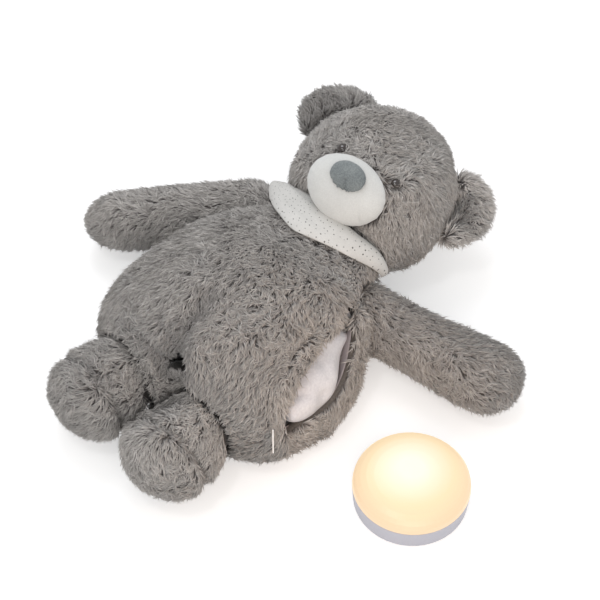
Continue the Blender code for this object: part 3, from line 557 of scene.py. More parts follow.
@dataclass(frozen=True)
class Crease:
    """A fold or a line of stitches that draws the skin in, along points in millimetres."""

    points: tuple[Point, ...]
    depth: float
    width: float
    fade: float = 1.0

    def pull(self, places: np.ndarray) -> np.ndarray:
        """Gives how far each place is drawn in.

        Args:
            places: One row of metres for each vertex.

        Returns:
            One depth in metres for each.
        """
        most = np.zeros(len(places))
        line = np.array(self.points) / MM
        for step, (start, end) in enumerate(zip(line, line[1:])):
            along = end - start
            share = np.clip((places - start) @ along / (along @ along), 0.0, 1.0)
            away = np.linalg.norm(places - start - share[:, None] * along, axis=1)
            left = 1.0 - (1.0 - self.fade) * (step + share) / (len(line) - 1)
            most = np.maximum(most, left * np.exp(-((away / self.width) ** 2)))
        return most * self.depth


@dataclass(frozen=True)
class RoundSeam:
    """A seam all the way round a limb, in a plane square to an axis."""

    centre: Point
    axis: Point
    depth: float
    width: float

    def pull(self, places: np.ndarray) -> np.ndarray:
        """Gives how far each place is drawn in, in metres."""
        axis = np.array(self.axis) / np.linalg.norm(self.axis)
        away = (places - np.array(self.centre) / MM) @ axis
        return self.depth * np.exp(-((away / self.width) ** 2))


@dataclass(frozen=True)
class Puckers:
    """Small gathers round the edge of a piece that is drawn in by its thread."""

    centre: Point
    axis: Point
    radius: float
    count: int
    depth: float

    def pull(self, places: np.ndarray) -> np.ndarray:
        """Gives how far each place is drawn in, in metres."""
        axis = Vector(self.axis).normalized()
        side = axis.orthogonal().normalized()
        away = places - np.array(self.centre) / MM
        wide, tall = away @ np.array(side), away @ np.array(axis.cross(side))
        near = np.clip(4 * np.hypot(wide, tall) / self.radius - 3, 0.0, 1.0)
        return self.depth * near * (0.5 + 0.5 * np.sin(self.count * np.arctan2(tall, wide)))


Marks = tuple[Crease | RoundSeam | Puckers, ...]


def drawn_in(marks: Marks, places: np.ndarray) -> np.ndarray:
    """Adds up how far all the marks draw each place in, in metres."""
    return sum((mark.pull(places) for mark in marks), np.zeros(len(places)))


@dataclass
class StuffedForm:
    """A sewn skin over filling, worked from a CAD node's own form.

    The node's shape is remeshed, drawn in a little, and blown up again as cloth, so that it
    swells between its seams as a stuffed piece does. The marks are its folds and seams.
    """

    name: str
    body: str
    voxel: float = 0.004
    draw_in: float = 0.0036
    cap: float = 0.003
    relax: int = 3
    finish: Cloth = BACKING
    slot: str = "plush"
    fill: float = 0.7
    marks: Marks = ()
    skin: bpy.types.Object | None = None
    rest: list[Vector] = field(default_factory=list)

    def start(self) -> None:
        """Makes the form that the filling will swell, drawn in less where it is thin."""
        self.skin = cad_copy(f"{self.name}_skin", self.name)
        remesh = self.skin.modifiers.new("even", "REMESH")
        remesh.mode = "VOXEL"
        remesh.voxel_size = self.voxel
        smooth = self.skin.modifiers.new("relax", "SMOOTH")
        smooth.iterations = self.relax
        smooth.factor = 0.5
        settle(self.skin)
        bm = bmesh.new()
        bm.from_mesh(self.skin.data)
        tree = BVHTree.FromBMesh(bm)
        steps = []
        for vert in bm.verts:
            inwards = -vert.normal
            far = tree.ray_cast(vert.co + inwards * self.voxel / 4, inwards, self.draw_in * 4)[3]
            steps.append(inwards * (self.draw_in if far is None else min(self.draw_in, far / 4)))
        for vert, step in zip(bm.verts, steps):
            vert.co += step
        bm.to_mesh(self.skin.data)
        bm.free()
        self.rest = [vert.co.copy() for vert in self.skin.data.vertices]

    def stuff(self) -> None:
        """Gives the form its cloth, ready for the shared run."""
        cloth = self.skin.modifiers.new("filling", "CLOTH")
        cloth.settings.use_pressure = True
        cloth.settings.uniform_pressure_force = SWELL_PRESSURE
        cloth.settings.quality = 4
        cloth.settings.effector_weights.gravity = 0.0
        cloth.point_cache.frame_end = SWELL_FRAMES

    def close(self) -> None:
        """Keeps the swollen shape, capped, works its marks in and sews it to its body."""
        settle(self.skin)
        swollen = 0.0
        for vert, rest in zip(self.skin.data.vertices, self.rest):
            swell = vert.co - rest
            if swell.length > self.cap:
                swell = swell.normalized() * self.cap
            vert.co = rest + swell
            swollen += swell.length
        log.info("%s swells %.2f mm", self.name, MM * swollen / len(self.rest))
        finer = self.skin.modifiers.new("finer", "SUBSURF")
        finer.levels = finer.render_levels = 1
        settle(self.skin)
        verts = self.skin.data.vertices
        places = np.array([vert.co for vert in verts])
        pulls = drawn_in(self.marks, places)
        places -= np.array([vert.normal for vert in verts]) * pulls[:, None]
        # The fold's depth is kept: it shortens the pile, and darkens the cloth and the pile as
        # painted shade
        fold = self.skin.data.attributes.new("fold", "FLOAT", "POINT")
        fold.data.foreach_set("value", np.clip(pulls / FOLD_DEPTH, 0.0, 2.0))
        places[:, 2] = np.maximum(places[:, 2], SKIN_GAP)
        verts.foreach_set("co", places.ravel())
        self.skin.data.update()
        self.skin.data.shade_smooth()
        dress(self.skin, self.finish, self.body, self.name)


def simulate(forms: list[StuffedForm]) -> None:
    """Runs every form's cloth together.

    Args:
        forms: The forms that have been started.
    """
    for form in forms:
        form.stuff()
    for step in range(1, SWELL_FRAMES + 1):
        bpy.context.scene.frame_set(step)


@dataclass
class Band:
    """A soft strip worked between two edges: cloth, a sewn roll or a loose lining.

    Each row holds a place on either edge, in millimetres, and the strip's section is a flat
    oval between them, pushed outwards by its crown and ruffled by its folds.
    """

    name: str
    rows: Rows
    thickness: float
    finish: Cloth
    slot: str
    outwards: Point
    crown: float = 0.0
    lift: float = 0.0
    square: float = 2.0
    folds: float = 0.0
    fold_length: float = 0.02
    fold_width: float = 0.006
    facets: tuple[int, int] = (96, 36)
    marks: Marks = ()
    body: str = "body"
    skin: bpy.types.Object | None = None

    def __post_init__(self) -> None:
        """Measures how far along the middle of the strip each share lies."""
        self.shares = np.linspace(0.0, 1.0, 101)
        rows = np.array([smooth_row(self.rows, share) for share in self.shares]) / (2 * MM)
        steps = np.diff(rows[:, :3] + rows[:, 3:], axis=0)
        self.lengths = np.concatenate(([0.0], np.cumsum(np.linalg.norm(steps, axis=1))))

    def place(self, along: float, around: float) -> tuple[Vector, Vector]:
        """Finds a point of the strip's surface and its place on the flat cloth.

        Args:
            along: How far along the strip, from 0 to 1.
            around: How far round its section, from 0 to 1.

        Returns:
            The point, and the point of the weave map, both in metres.
        """
        here = smooth_row(self.rows, along)
        ahead = smooth_row(self.rows, min(1.0, along + 0.01))
        behind = smooth_row(self.rows, max(0.0, along - 0.01))
        low, high = Vector(here[:3]) / MM, Vector(here[3:]) / MM
        run = (Vector(ahead[:3]) + Vector(ahead[3:]) - Vector(behind[:3]) - Vector(behind[3:])) / 2
        half = (high - low) / 2
        out = run.cross(half).normalized()
        if out.dot(Vector(self.outwards)) < 0:
            out.negate()
        angle = 2 * math.pi * around
        wide, deep = (
            math.copysign(abs(part) ** (2 / self.square), part)
            for part in (math.cos(angle), math.sin(angle))
        )
        end = max(0.0, 1.0 - abs(2 * along - 1) ** 12) ** 0.5
        weave = Vector((np.interp(along, self.shares, self.lengths), wide * half.length, 0.0))
        ruffle = noise.noise(Vector((weave.x / self.fold_length, weave.y / self.fold_width, 0.5)))
        rise = self.lift + self.crown * (1 - wide * wide) + self.folds * ruffle
        flat = (low + high) / 2 + half * wide * end
        return flat + out * (rise * end + deep * self.thickness / 2 * end), weave

    def build(self) -> bpy.types.Object:
        """Makes the strip from a grid that is wrapped round and closed at its ends."""
        bm = bmesh.new()
        rows, sides = self.facets
        bmesh.ops.create_grid(bm, x_segments=rows, y_segments=sides, size=0.5)
        chart = bm.loops.layers.uv.new("weave")
        spots = {vert: self.place(vert.co.x + 0.5, vert.co.y + 0.5) for vert in bm.verts}
        for face in bm.faces:
            for loop in face.loops:
                loop[chart].uv = spots[loop.vert][1].xy
        for vert, (point, _weave) in spots.items():
            vert.co = point
        bmesh.ops.remove_doubles(bm, verts=bm.verts, dist=1e-6)
        bmesh.ops.recalc_face_normals(bm, faces=bm.faces)
        bm.normal_update()
        pulls = drawn_in(self.marks, np.array([vert.co for vert in bm.verts]))
        for vert, pull in zip(bm.verts, pulls):
            vert.co -= vert.normal * pull
        self.skin = dress(from_bmesh(self.name, bm), self.finish, self.body)
        return self.skin


@dataclass
class Strand:
    """One tuft of the pile: a three-sided spike, rooted in the skin, that curls towards +X."""

    width: float = 0.00088
    curl: float = 3.4
    bend: float = 0.55
    taper: float = 0.25

    def build(self) -> bpy.types.Object:
        """Makes the tuft, a metre long and scaled where it is planted, with its attributes."""
        bm = bmesh.new()
        bmesh.ops.create_cone(bm, cap_ends=False, segments=3, radius1=0.5, radius2=0.0, depth=1.0)
        bmesh.ops.translate(bm, verts=bm.verts, vec=(0.0, 0.0, 0.5))
        whole = bm.verts[:] + bm.edges[:] + bm.faces[:]
        middle = (0.0, 0.0, self.bend)
        bmesh.ops.bisect_plane(bm, geom=whole, plane_co=middle, plane_no=(0.0, 0.0, 1.0))
        bm.verts.ensure_lookup_table()
        along = bm.verts.layers.float.new("along")
        chart = bm.loops.layers.uv.new("OFBake")
        for vert in bm.verts:
            height = vert.co.z
            vert[along] = height
            # The strand stays thick to its bend, where a plain cone would be thin
            if 0.0 < height < 1.0:
                vert.co.xy *= (1.0 - self.taper * height) / (1.0 - height)
        for face in bm.faces:
            for place, loop in enumerate(face.loops):
                loop[chart].uv = (place % 2, loop.vert[along])
        for vert in bm.verts:
            vert.co.x += self.curl * vert[along] ** 2
        return from_bmesh("tuft", bm)


# A form that carries its pile as one piece
WHOLE = (("pile", (0.0, 0.0, 0.0)),)


@dataclass
class Pile:
    """The long pile on one form: where it grows, how it lies and how dense it is.

    It leaves out what is under a neighbour, and a wider ring round the bare pieces. The inner
    place, if there is one, is the hollow of an ear, in millimetres, where the pile is darkened as
    painted shade.
    """

    form: StuffedForm | Band
    comb: Point
    seed: int
    clear_of: tuple[str, ...] = ()
    tone: float = 0.0
    length: float = 0.0072
    density: float = 1.72
    lean: float = 1.2
    panels: tuple[tuple[str, Point], ...] = WHOLE
    split: Point = (0.0, 0.0, 0.0)
    bare: tuple[str, ...] = ()
    bare_ring: float = 0.0014
    reach: float = 0.0046
    inner: Point | None = None

    def grow(self, tuft: bpy.types.Object, width: float) -> None:
        """Plants the tufts on the form's skin, as one piece for each panel.

        Args:
            tuft: The shape that is planted.
            width: A tuft's width at its root.
        """
        blocks = self._joined("neighbours", (*self.clear_of, *self.bare))
        rings = self._joined("bare", self.bare)
        for count, (name, side) in enumerate(self.panels):
            piece = self._panel(f"{self.form.name}_{name}", Vector(side))
            planting = Planting(self, tuft, width, blocks, rings, self.seed * 10 + count)
            piece.modifiers.new("pile", "NODES").node_group = planting.build()
            settle(piece)
            piece.data.shade_smooth()
            dress(piece, PilePlush(), self.form.body)
        bpy.data.objects.remove(blocks)
        bpy.data.objects.remove(rings)

    def _panel(self, name: str, side: Vector) -> bpy.types.Object:
        """Copies the part of the skin whose middle lies on one side of the form's own middle."""
        bm = bmesh.new()
        bm.from_mesh(self.form.skin.data)
        if side.length:
            low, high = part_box(self.form.name)
            middle = (low + high) / 2 + Vector(self.split)
            gone = []
            for face in bm.faces:
                away = face.calc_center_median() - middle
                if any(s * a < 0 for s, a in zip(side, away)):
                    gone.append(face)
            bmesh.ops.delete(bm, geom=gone, context="FACES")
        return from_bmesh(name, bm)

    def _joined(self, tag: str, names: tuple[str, ...]) -> bpy.types.Object:
        """Joins pieces or CAD nodes, by name, as one shape to measure from."""
        bm = bmesh.new()
        for name in names:
            bm.from_mesh((bpy.data.objects.get(name) or frame["nodes"][name]).data)
        return from_bmesh(f"{self.form.name}_{tag}", bm)


@dataclass
class Planting:
    """The node group that plants one panel's tufts, combs them and gives each its shade.

    A tuft's height goes up at the front of its lock and down in a fold, and so does its paleness,
    as painted shade: a lock is palest at its front, darker behind it where the lock before it
    would shade it, and darkest in a fold. The heights are a start and then a share for each of
    these, and the shade has a share for the random tone of the patches and of the lock, and for
    the painted shade of its front and of the folds. The underside keeps a share of the pile.
    """

    pile: Pile
    tuft: bpy.types.Object
    width: float
    blocks: bpy.types.Object
    rings: bpy.types.Object
    seed: int
    underside: float = 0.25
    stray: float = 0.08
    stray_curl: float = 0.35
    lock_front: float = 0.0016
    patch: float = 0.012
    heights: tuple[float, float, float] = (0.9, 0.5, -0.38)
    tone_and_painted_shade: tuple[float, float, float, float] = (0.8, 0.3, 0.58, -0.6)
    # How the painted shade of an ear's hollow fades with the distance from it
    hollow: dict[str, float] = field(
        default_factory=lambda: {"From Min": 0.01, "From Max": 0.022, "To Min": -0.4, "To Max": 0.0}
    )
    drawn: dict[str, Socket] = field(default_factory=dict)

    def build(self) -> Tree:
        """Builds the node group: roots, lie, strands, shade, chart and floor."""
        tree = bpy.data.node_groups.new("planting", "GeometryNodeTree")
        for way in ("INPUT", "OUTPUT"):
            tree.interface.new_socket("Geometry", in_out=way, socket_type="NodeSocketGeometry")
        self._add = partial(add_node, tree)
        self.place = self._add("GeometryNodeInputPosition")
        self.fold = self._add(NAMED, {"Name": "fold"}, data_type="FLOAT")
        own = {
            "lean": (self.pile.lean, 0.0),
            "length": (self.pile.length, 0.0),
            "width": (self.width, 0.0),
            "tone": (1.0, self.pile.tone),
        }
        for step, (name, (times, start)) in enumerate(own.items(), 2):
            low, high = (share * times + start for share in DRAWS[name])
            draw = {2: low, 3: high, "Seed": self.seed + step}
            self.drawn[name] = self._add(RANDOM, draw, 1, data_type="FLOAT")
        points = self._roots()
        way = Vector(self.pile.comb).normalized()
        squeeze = [1.0 - LOCK_SLIMNESS * abs(part) for part in way]
        slim = self._add(VECTOR, {0: self.place, 1: squeeze}, operation="MULTIPLY")
        lock = self._add(CELLS, {"Vector": slim, "Scale": 1 / LOCK_SIZE}, "Position")
        inwards = self._add(VECTOR, {0: lock, 1: slim}, operation="SUBTRACT")
        behind = self._add(VECTOR, {0: inwards, 1: way}, 1, operation="DOT_PRODUCT")
        reach = {"From Min": self.lock_front, "From Max": -self.lock_front}
        ahead = self._add(RANGE, {"Value": behind, **reach})
        pile = self._strands(points, self._turned(inwards), ahead)
        shade = self._shade(lock.node.outputs["Color"], ahead)
        keep = {"Geometry": pile, "Name": "shade", "Value": shade}
        pile = self._add(STORE, keep, data_type="FLOAT", domain="INSTANCE")
        pile = self._charted(self._add("GeometryNodeRealizeInstances", {"Geometry": pile}))
        # Nothing goes through the floor
        apart = self._add("ShaderNodeSeparateXYZ", {0: self.place}).node.outputs
        high = self._add(MATH, {0: apart["Z"], 1: STRAND_GAP}, operation="MAXIMUM")
        clear = self._add("ShaderNodeCombineXYZ", {0: apart["X"], 1: apart["Y"], 2: high})
        pile = self._add("GeometryNodeSetPosition", {"Geometry": pile, "Position": clear})
        self._add("NodeGroupOutput", {"Geometry": pile})
        return tree

    def _roots(self) -> Socket:
        """Spreads the roots, clear of neighbours, of bare pieces and of the deepest folds."""
        pile = self.pile
        normal = self._add("GeometryNodeInputNormal")
        # The underside rests on the floor and carries a thinner pile
        upright = self._add(VECTOR, {0: normal, 1: (0.0, 0.0, 1.0)}, 1, operation="DOT_PRODUCT")
        thin = {"Value": upright, "From Min": -0.75, "From Max": -0.2, "To Min": self.underside}
        share = self._add(RANGE, thin)
        density = self._add(MATH, {0: share, 1: pile.density * MM * MM}, operation="MULTIPLY")
        skin = self._add("NodeGroupInput")
        spread = {"Mesh": skin, "Density": density, "Seed": self.seed}
        points = self._add("GeometryNodeDistributePointsOnFaces", spread)
        grown = points.node.outputs["Normal"]
        blocks, rings = (
            self._add("GeometryNodeObjectInfo", {"Object": thing}, "Geometry")
            for thing in (self.blocks, self.rings)
        )
        ray = {
            "Target Geometry": blocks,
            "Source Position": self.place,
            "Ray Direction": grown,
            "Ray Length": pile.reach,
        }
        covered = self._add("GeometryNodeRaycast", ray)
        away = self._add("GeometryNodeProximity", {0: rings}, "Distance")
        ring = pile.bare_ring if pile.bare else -1.0
        for value, limit, test in (
            (away, ring, "LESS_THAN"),
            (self.fold, DEEPEST_FOLD, "GREATER_THAN"),
        ):
            found = self._add(MATH, {0: value, 1: limit}, operation=test)
            covered = self._add(MATH, {0: covered, 1: found}, operation="MAXIMUM")
        gone = {"Geometry": points, "Selection": covered}
        points = self._add("GeometryNodeDeleteGeometry", gone, domain="POINT")
        keep = {"Geometry": points, "Name": "grown", "Value": grown}
        return self._add(STORE, keep, data_type="FLOAT_VECTOR", domain="POINT")

    def _turned(self, inwards: Socket) -> Socket:
        """Lays the strands: combed one way, swirled, and drawn into small drop-shaped locks."""
        draw = {0: (-1.0, -1.0, -1.0), 1: (1.0, 1.0, 1.0), "Seed": self.seed + 1}
        stray = self._add(RANDOM, draw, data_type="FLOAT_VECTOR")
        parts = []
        for size, share in EDDIES:
            eddy = {"Vector": self.place, "Scale": 1 / size, "Detail": 1.0}
            eddy = self._add(NOISE, eddy, "Color")
            eddy = self._add(VECTOR, {0: eddy, 1: (0.5, 0.5, 0.5)}, operation="SUBTRACT")
            parts.append((eddy, share))
        lie = self.pile.comb
        for part, share in (*parts, (inwards, LOCK_DRAW), (stray, self.stray)):
            lie = self._add(VECTOR, {0: part, 1: (share,) * 3, 2: lie}, operation="MULTIPLY_ADD")
        grown = self._add(NAMED, {"Name": "grown"}, data_type="FLOAT_VECTOR")
        rise = self._add(VECTOR, {0: lie, 1: grown}, 1, operation="DOT_PRODUCT")
        lift = self._add(VECTOR, {0: grown, "Scale": rise}, operation="SCALE")
        flat = self._add(VECTOR, {0: lie, 1: lift}, operation="SUBTRACT")
        flat = self._add(VECTOR, {0: flat}, operation="NORMALIZE")
        leaning = self._add(VECTOR, {0: flat, "Scale": self.drawn["lean"]}, operation="SCALE")
        stem = self._add(VECTOR, {0: grown, 1: leaning}, operation="ADD")
        curl = {0: stray, 1: (self.stray_curl,) * 3, 2: flat}
        curl = self._add(VECTOR, curl, operation="MULTIPLY_ADD")
        axes = {"Primary Axis": stem, "Secondary Axis": curl}
        return self._add(
            "FunctionNodeAxesToRotation", axes, primary_axis="Z", secondary_axis="X"
        )

    def _strands(self, points: Socket, turned: Socket, ahead: Socket) -> Socket:
        """Plants the tufts, longest at a lock's front and short in a fold."""
        rising, *shares = self.heights
        for part, share in zip((ahead, self.fold), shares):
            rising = self._add(MATH, {0: part, 1: share, 2: rising}, operation="MULTIPLY_ADD")
        tall = self._add(MATH, {0: self.drawn["length"], 1: rising}, operation="MULTIPLY")
        # The curl is modelled in root widths, since it is scaled with the width
        thick = self.drawn["width"]
        planted = {
            "Points": points,
            "Instance": self._add("GeometryNodeObjectInfo", {"Object": self.tuft}, "Geometry"),
            "Rotation": turned,
            "Scale": self._add("ShaderNodeCombineXYZ", {0: thick, 1: thick, 2: tall}),
        }
        return self._add("GeometryNodeInstanceOnPoints", planted)

    def _shade(self, lot: Socket, ahead: Socket) -> Socket:
        """Gives each tuft one shade: random tone and painted shade, pale at a lock's front, dark in
        folds.
        """
        patch = {"Vector": self.place, "Scale": 1 / self.patch, "Detail": 2.0}
        patch = self._add(NOISE, patch)
        lot = self._add("ShaderNodeSeparateXYZ", {0: lot})
        shade = self.drawn["tone"]
        # Patches and locks add random tone; the lock's front and the folds add painted shade
        for part, share in zip((patch, lot, ahead, self.fold), self.tone_and_painted_shade):
            shade = self._add(MATH, {0: part, 1: share, 2: shade}, operation="MULTIPLY_ADD")
        # Painted shade: the pile darkens towards the hollow of an ear
        if self.pile.inner:
            ends = {0: self.place, 1: Vector(self.pile.inner) / MM}
            away = self._add(VECTOR, ends, 1, operation="DISTANCE")
            dark = self._add(RANGE, {"Value": away, **self.hollow})
            shade = self._add(MATH, {0: shade, 1: dark}, operation="ADD")
        return self._add(MATH, {0: shade, 1: -0.5}, operation="ADD", use_clamp=True)

    def _charted(self, pile: Socket) -> Socket:
        """Puts each strand where its own shade and height are on one small picture."""
        chart = self._add(NAMED, {"Name": "OFBake"}, data_type="FLOAT_VECTOR")
        level = self._add(NAMED, {"Name": "shade"}, data_type="FLOAT")
        level = self._add(MATH, {0: level, 1: CHART_REACH}, operation="MULTIPLY")
        level = self._add(MATH, {0: level, 1: CHART_EDGE}, operation="ADD")
        corner = self._add("ShaderNodeCombineXYZ", {0: level, 1: CHART_FOOT})
        spot = {0: chart, 1: CHART_STRAND, 2: corner}
        spot = self._add(VECTOR, spot, operation="MULTIPLY_ADD")
        keep = {"Geometry": pile, "Name": "OFBake", "Value": spot}
        return self._add(STORE, keep, data_type="FLOAT2", domain="CORNER")


# Studio


@dataclass(frozen=True)
class Lamp:
    """A soft disc lamp: where it hangs, its width in metres, its watts and its colour."""

    place: Point
    size: float
    power: float
    colour: str


LAMPS = {
    "key": Lamp((-0.7, 0.6, 1.5), 0.9, 7.0, "#f8faff"),
    "fill": Lamp((1.0, -1.0, 1.0), 1.4, 9.0, "#fffaf6"),
    "spark": Lamp((0.02, -0.44, 1.34), 0.15, 1.6, "#ffffff"),
    # The warm light that the lit cover throws on the bear's flank
    "glow": Lamp((0.2, -0.06, 0.12), 0.1, 0.052, "#ffc48a"),
}


@dataclass
class Studio:
    """A white floor, a soft key from the upper left and a camera at the photograph's angle."""

    azimuth: float = 41.0
    elevation: float = 51.0
    distance: float = 1.19
    view_angle: float = 19.0
    sensor: float = 36.0
    target: Point = (0.01064, 0.05916, 0.0)
    floor_reach: float = 4.0
    sky: float = 0.75

    def build(self) -> None:
        """Makes the floor, the world, the lamps and the camera."""
        bm = bmesh.new()
        bmesh.ops.create_grid(bm, x_segments=1, y_segments=1, size=self.floor_reach)
        floor = from_bmesh("studio_floor", bm)
        floor.data.materials.append(Backdrop().material())
        world = bpy.data.worlds.new("studio_white")
        world.use_nodes = True
        world.node_tree.nodes.clear()
        white = {"Color": (1.0, 1.0, 1.0, 1.0), "Strength": self.sky}
        sky = add_node(world.node_tree, "ShaderNodeBackground", white)
        add_node(world.node_tree, "ShaderNodeOutputWorld", {"Surface": sky})
        bpy.context.scene.world = world
        for name, lamp in LAMPS.items():
            light = bpy.data.lights.new(name, "AREA")
            light.shape = "DISK"
            light.size = lamp.size
            light.energy = lamp.power
            light.color = linear(lamp.colour)[:3]
            place = Vector(lamp.place)
            self._aim(new_object(name, light), place, Vector(self.target) - place)
        self._camera()

    def _aim(self, thing: bpy.types.Object, place: Vector, way: Vector) -> None:
        """Puts a lamp or a camera at a place, facing one way."""
        thing.location = place
        thing.rotation_mode = "QUATERNION"
        thing.rotation_quaternion = way.to_track_quat("-Z", "Y")

    def _camera(self) -> None:
        """Sets the camera at the photograph's angle."""
        turn, rise = math.radians(self.azimuth), math.radians(self.elevation)
        level = math.cos(rise)
        back = Vector((math.sin(turn) * level, -math.cos(turn) * level, math.sin(rise)))
        data = bpy.data.cameras.new("camera")
        data.sensor_width = self.sensor
        data.lens = self.sensor / 2 / math.tan(math.radians(self.view_angle / 2))
        data.clip_start = 0.01
        camera = new_object("camera", data)
        self._aim(camera, Vector(self.target) + back * self.distance, -back)
        bpy.context.scene.camera = camera
        bpy.context.scene.view_settings.view_transform = "Standard"


# The bear and the light

LIMBS = ("left_arm", "right_arm", "left_leg", "right_leg")
# How deep each eye's bead is sewn into the pile
EYES = {"left_eye": 0.0004, "right_eye": 0.0022}
# Where the cover glows most, from its middle: the chips show through on the far side
GLOW_SHIFT = Vector((-0.003, 0.0034, 0.0))

# Folds and seams, in millimetres of the row's frame
CROTCH_FOLDS = (
    Crease(((23, -79, 56), (23, -75, 65)), 0.02, 0.0075),
    Crease(
        (
            (24, -75, 64),
            (25, -71, 71.5),
            (22, -65, 78),
            (17.5, -51, 87),
            (17, -39, 92),
            (16, -27, 94),
        ),
        0.008,
        0.006,
        0.3,
    ),
    Crease(
        ((23, -73.5, 67.5), (15.5, -65.5, 78), (8, -61, 81.5), (0, -57, 82.5)),
        0.0075,
        0.0055,
        0.3,
    ),
    Crease(((19.5, -75.5, 64), (6.5, -71.5, 70.5), (-5.5, -69, 71)), 0.0075, 0.0055, 0.3),
)
JAW_SEAM = (Crease(((60, 101, 34), (66.5, 108, 40.5), (69, 118, 41), (70, 127, 41)), 0.003, 0.003),)
CROTCH_DIP = Crease(((23, -80, 54), (22, -76, 66)), 0.0088, 0.012)
LEFT_SOLE = (RoundSeam((46, -98.5, 29.5), (0.035, -0.999, 0), 0.0032, 0.0035), CROTCH_DIP)
RIGHT_SOLE = (RoundSeam((-20, -98.5, 29.5), (-0.105, -0.995, 0), 0.0032, 0.0035), CROTCH_DIP)
LEFT_CUP = (Crease(((62, 160, 53), (72, 150, 53)), 0.006, 0.011),)
RIGHT_CUP = (Crease(((-45, 138, 72), (-42, 152, 75)), 0.006, 0.011),)
MUZZLE_AXIS = (0.205, -0.705, 0.678)
MUZZLE_SEAMS = (
    Crease(((15, 86, 105), (34, 91, 105)), 0.0009, 0.012),
    Crease(((41.5, 79.5, 79), (41, 80.6, 82.3), (39.3, 80.5, 88.6)), 0.0009, 0.0009, 0.2),
    Puckers((24.1, 87.2, 94.1), MUZZLE_AXIS, 0.026, 26, 0.0002),
)
NOSE_SEAMS = (Crease(((25.4, 84.8, 106.4), (27, 83, 103.6), (27.2, 81.9, 101)), 0.0007, 0.001),)

# The bandana's edges from the bear's right to its left: the lower one, then the upper
BANDANA_ROWS = (
    (-40, 88, 37, -36, 93, 38),
    (-40.5, 87, 45, -35, 93, 47),
    (-33, 79, 54.5, -29, 92, 54),
    (-23, 69.5, 62.5, -22, 90.5, 59),
    (-6.5, 57.5, 72.5, -14, 88.5, 63),
    (11.5, 50.5, 76.5, -2, 86, 66),
    (24, 53.3, 75, 13, 83, 68.5),
    (36.5, 59, 71, 26, 82.5, 66.5),
    (47, 65, 65, 37, 82.5, 62.5),
    (55.3, 72.5, 56, 46.5, 85.7, 56),
    (58, 78, 47, 52.5, 87.5, 46),
    (58.5, 82, 38, 54, 89, 37),
)

# The roll of plush along the pocket's lower edge, from the arm to the seat: its foot and its top
LIP_ROWS = (
    (71, 45, 47, 70, 44, 55),
    (76, 40.5, 44, 74, 39, 55),
    (80, 35, 30, 77.5, 33.5, 52),
    (83.5, 26, 8, 83, 24.5, 44),
    (87.5, 16, 6, 87.5, 14.5, 36),
    (91, 3, 6, 91.5, 2, 32.5),
    (92.5, -13, 6, 93, -13.5, 31),
    (90.5, -24, 6, 91, -24, 31),
    (87, -34.5, 6, 87.2, -34.2, 30.5),
    (83.5, -42, 7, 83.9, -42.3, 27),
    (80, -48.5, 9, 80.6, -48.8, 22),
)
FACING_ROWS = (
    (73.5, 27, 42, 75.5, 33, 52),
    (76, 22, 36, 79, 29, 50),
    (80, 13, 30, 84, 20, 41),
    (84.5, 4, 27, 88.5, 8.5, 34.5),
    (88, -6, 26, 92, -4, 32),
    (88, -18, 26, 91.5, -18, 31),
    (85, -30, 26, 88.5, -30.5, 30.5),
    (81, -40, 26, 84.5, -41, 29),
)
# The loose lining: its edge under the upper lip, then its edge behind the facing
LINING_ROWS = (
    (69, 30, 48, 66, 31, 40),
    (71, 22, 54, 71, 25, 38),
    (71, 12, 57, 79, 15, 35),
    (72.5, 2, 57, 86, 3, 32),
    (75, -10, 56, 91.5, -7, 31),
    (78, -22, 54, 92, -20, 31),
    (81, -34, 51, 90, -32, 32),
    (83.5, -41, 46, 87.5, -40, 36),
)
# The loose edge of the plush above the pocket: where it leaves the flank, then where it ends
FLAP_ROWS = (
    (66, 31, 61, 71, 31, 60.5),
    (67.5, 23, 66, 74, 21, 64.5),
    (68.7, 15, 69, 77.5, 11, 66.5),
    (70, 4, 70.5, 76, 1.5, 66.5),
    (71.3, -5.6, 70.8, 78.5, -7, 65),
    (73.1, -16.5, 71, 80.8, -18.5, 62.5),
    (74.5, -25.5, 70, 82.3, -26.5, 60),
    (76.5, -34.5, 66.5, 83.5, -34, 57.5),
    (79, -42, 62, 84.8, -41.5, 53),
    (81.5, -48, 56.5, 86.8, -46, 47),
    (83.5, -51, 50, 88, -50, 41),
)
LINING_FOLDS = (
    Crease(((74, 9, 66), (79, 12, 58), (86, 13, 46)), 0.0012, 0.0009),
    Crease(((82, -34, 55), (88, -22, 47), (91, -12, 40)), 0.002, 0.004),
    Crease(((76, -2, 60), (84, -2, 50), (89, -4, 40)), 0.0014, 0.005),
)
# How each limb's pile is combed, and how much paler it is than the rest
LIMB_PILES = {
    "left_arm": ((0.9, 0.1, -0.3), -0.18),
    "right_arm": ((-0.65, -0.65, -0.3), 0.05),
    "left_leg": ((0.3, -0.8, -0.4), 0.0),
    "right_leg": ((-0.3, -0.8, -0.4), -0.08),
}
LINING_FOLDS = (
    Crease(((74, 9, 66), (79, 12, 58), (86, 13, 46)), 0.0012, 0.0009),
    Crease(((82, -34, 55), (88, -22, 47), (91, -12, 40)), 0.002, 0.004),
    Crease(((76, -2, 60), (84, -2, 50), (89, -4, 40)), 0.0014, 0.005),
)
# How each limb's pile is combed, and how much paler it is than the rest
LIMB_PILES = {
    "left_arm": ((0.9, 0.1, -0.3), -0.18),
    "right_arm": ((-0.65, -0.65, -0.3), 0.05),
    "left_leg": ((0.3, -0.8, -0.4), 0.0),
    "right_leg": ((-0.3, -0.8, -0.4), -0.08),
}


@dataclass
class Bandana:
    """The printed cotton band, folded in at its edges, that lies round the neck."""

    thickness: float = 0.0034
    crown: float = 0.0035
    lift: float = 0.0022

    def build(self) -> None:
        """Makes the band and hides the CAD one."""
        skin = Band(
            "bandana_cloth",
            BANDANA_ROWS,
            self.thickness,
            COTTON,
            "cotton",
            (0.0, -0.3, 1.0),
            crown=self.crown,
            lift=self.lift,
            square=2.4,
            folds=0.0011,
            fold_length=0.05,
            facets=(128, 48),
        ).build()
        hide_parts("bandana")


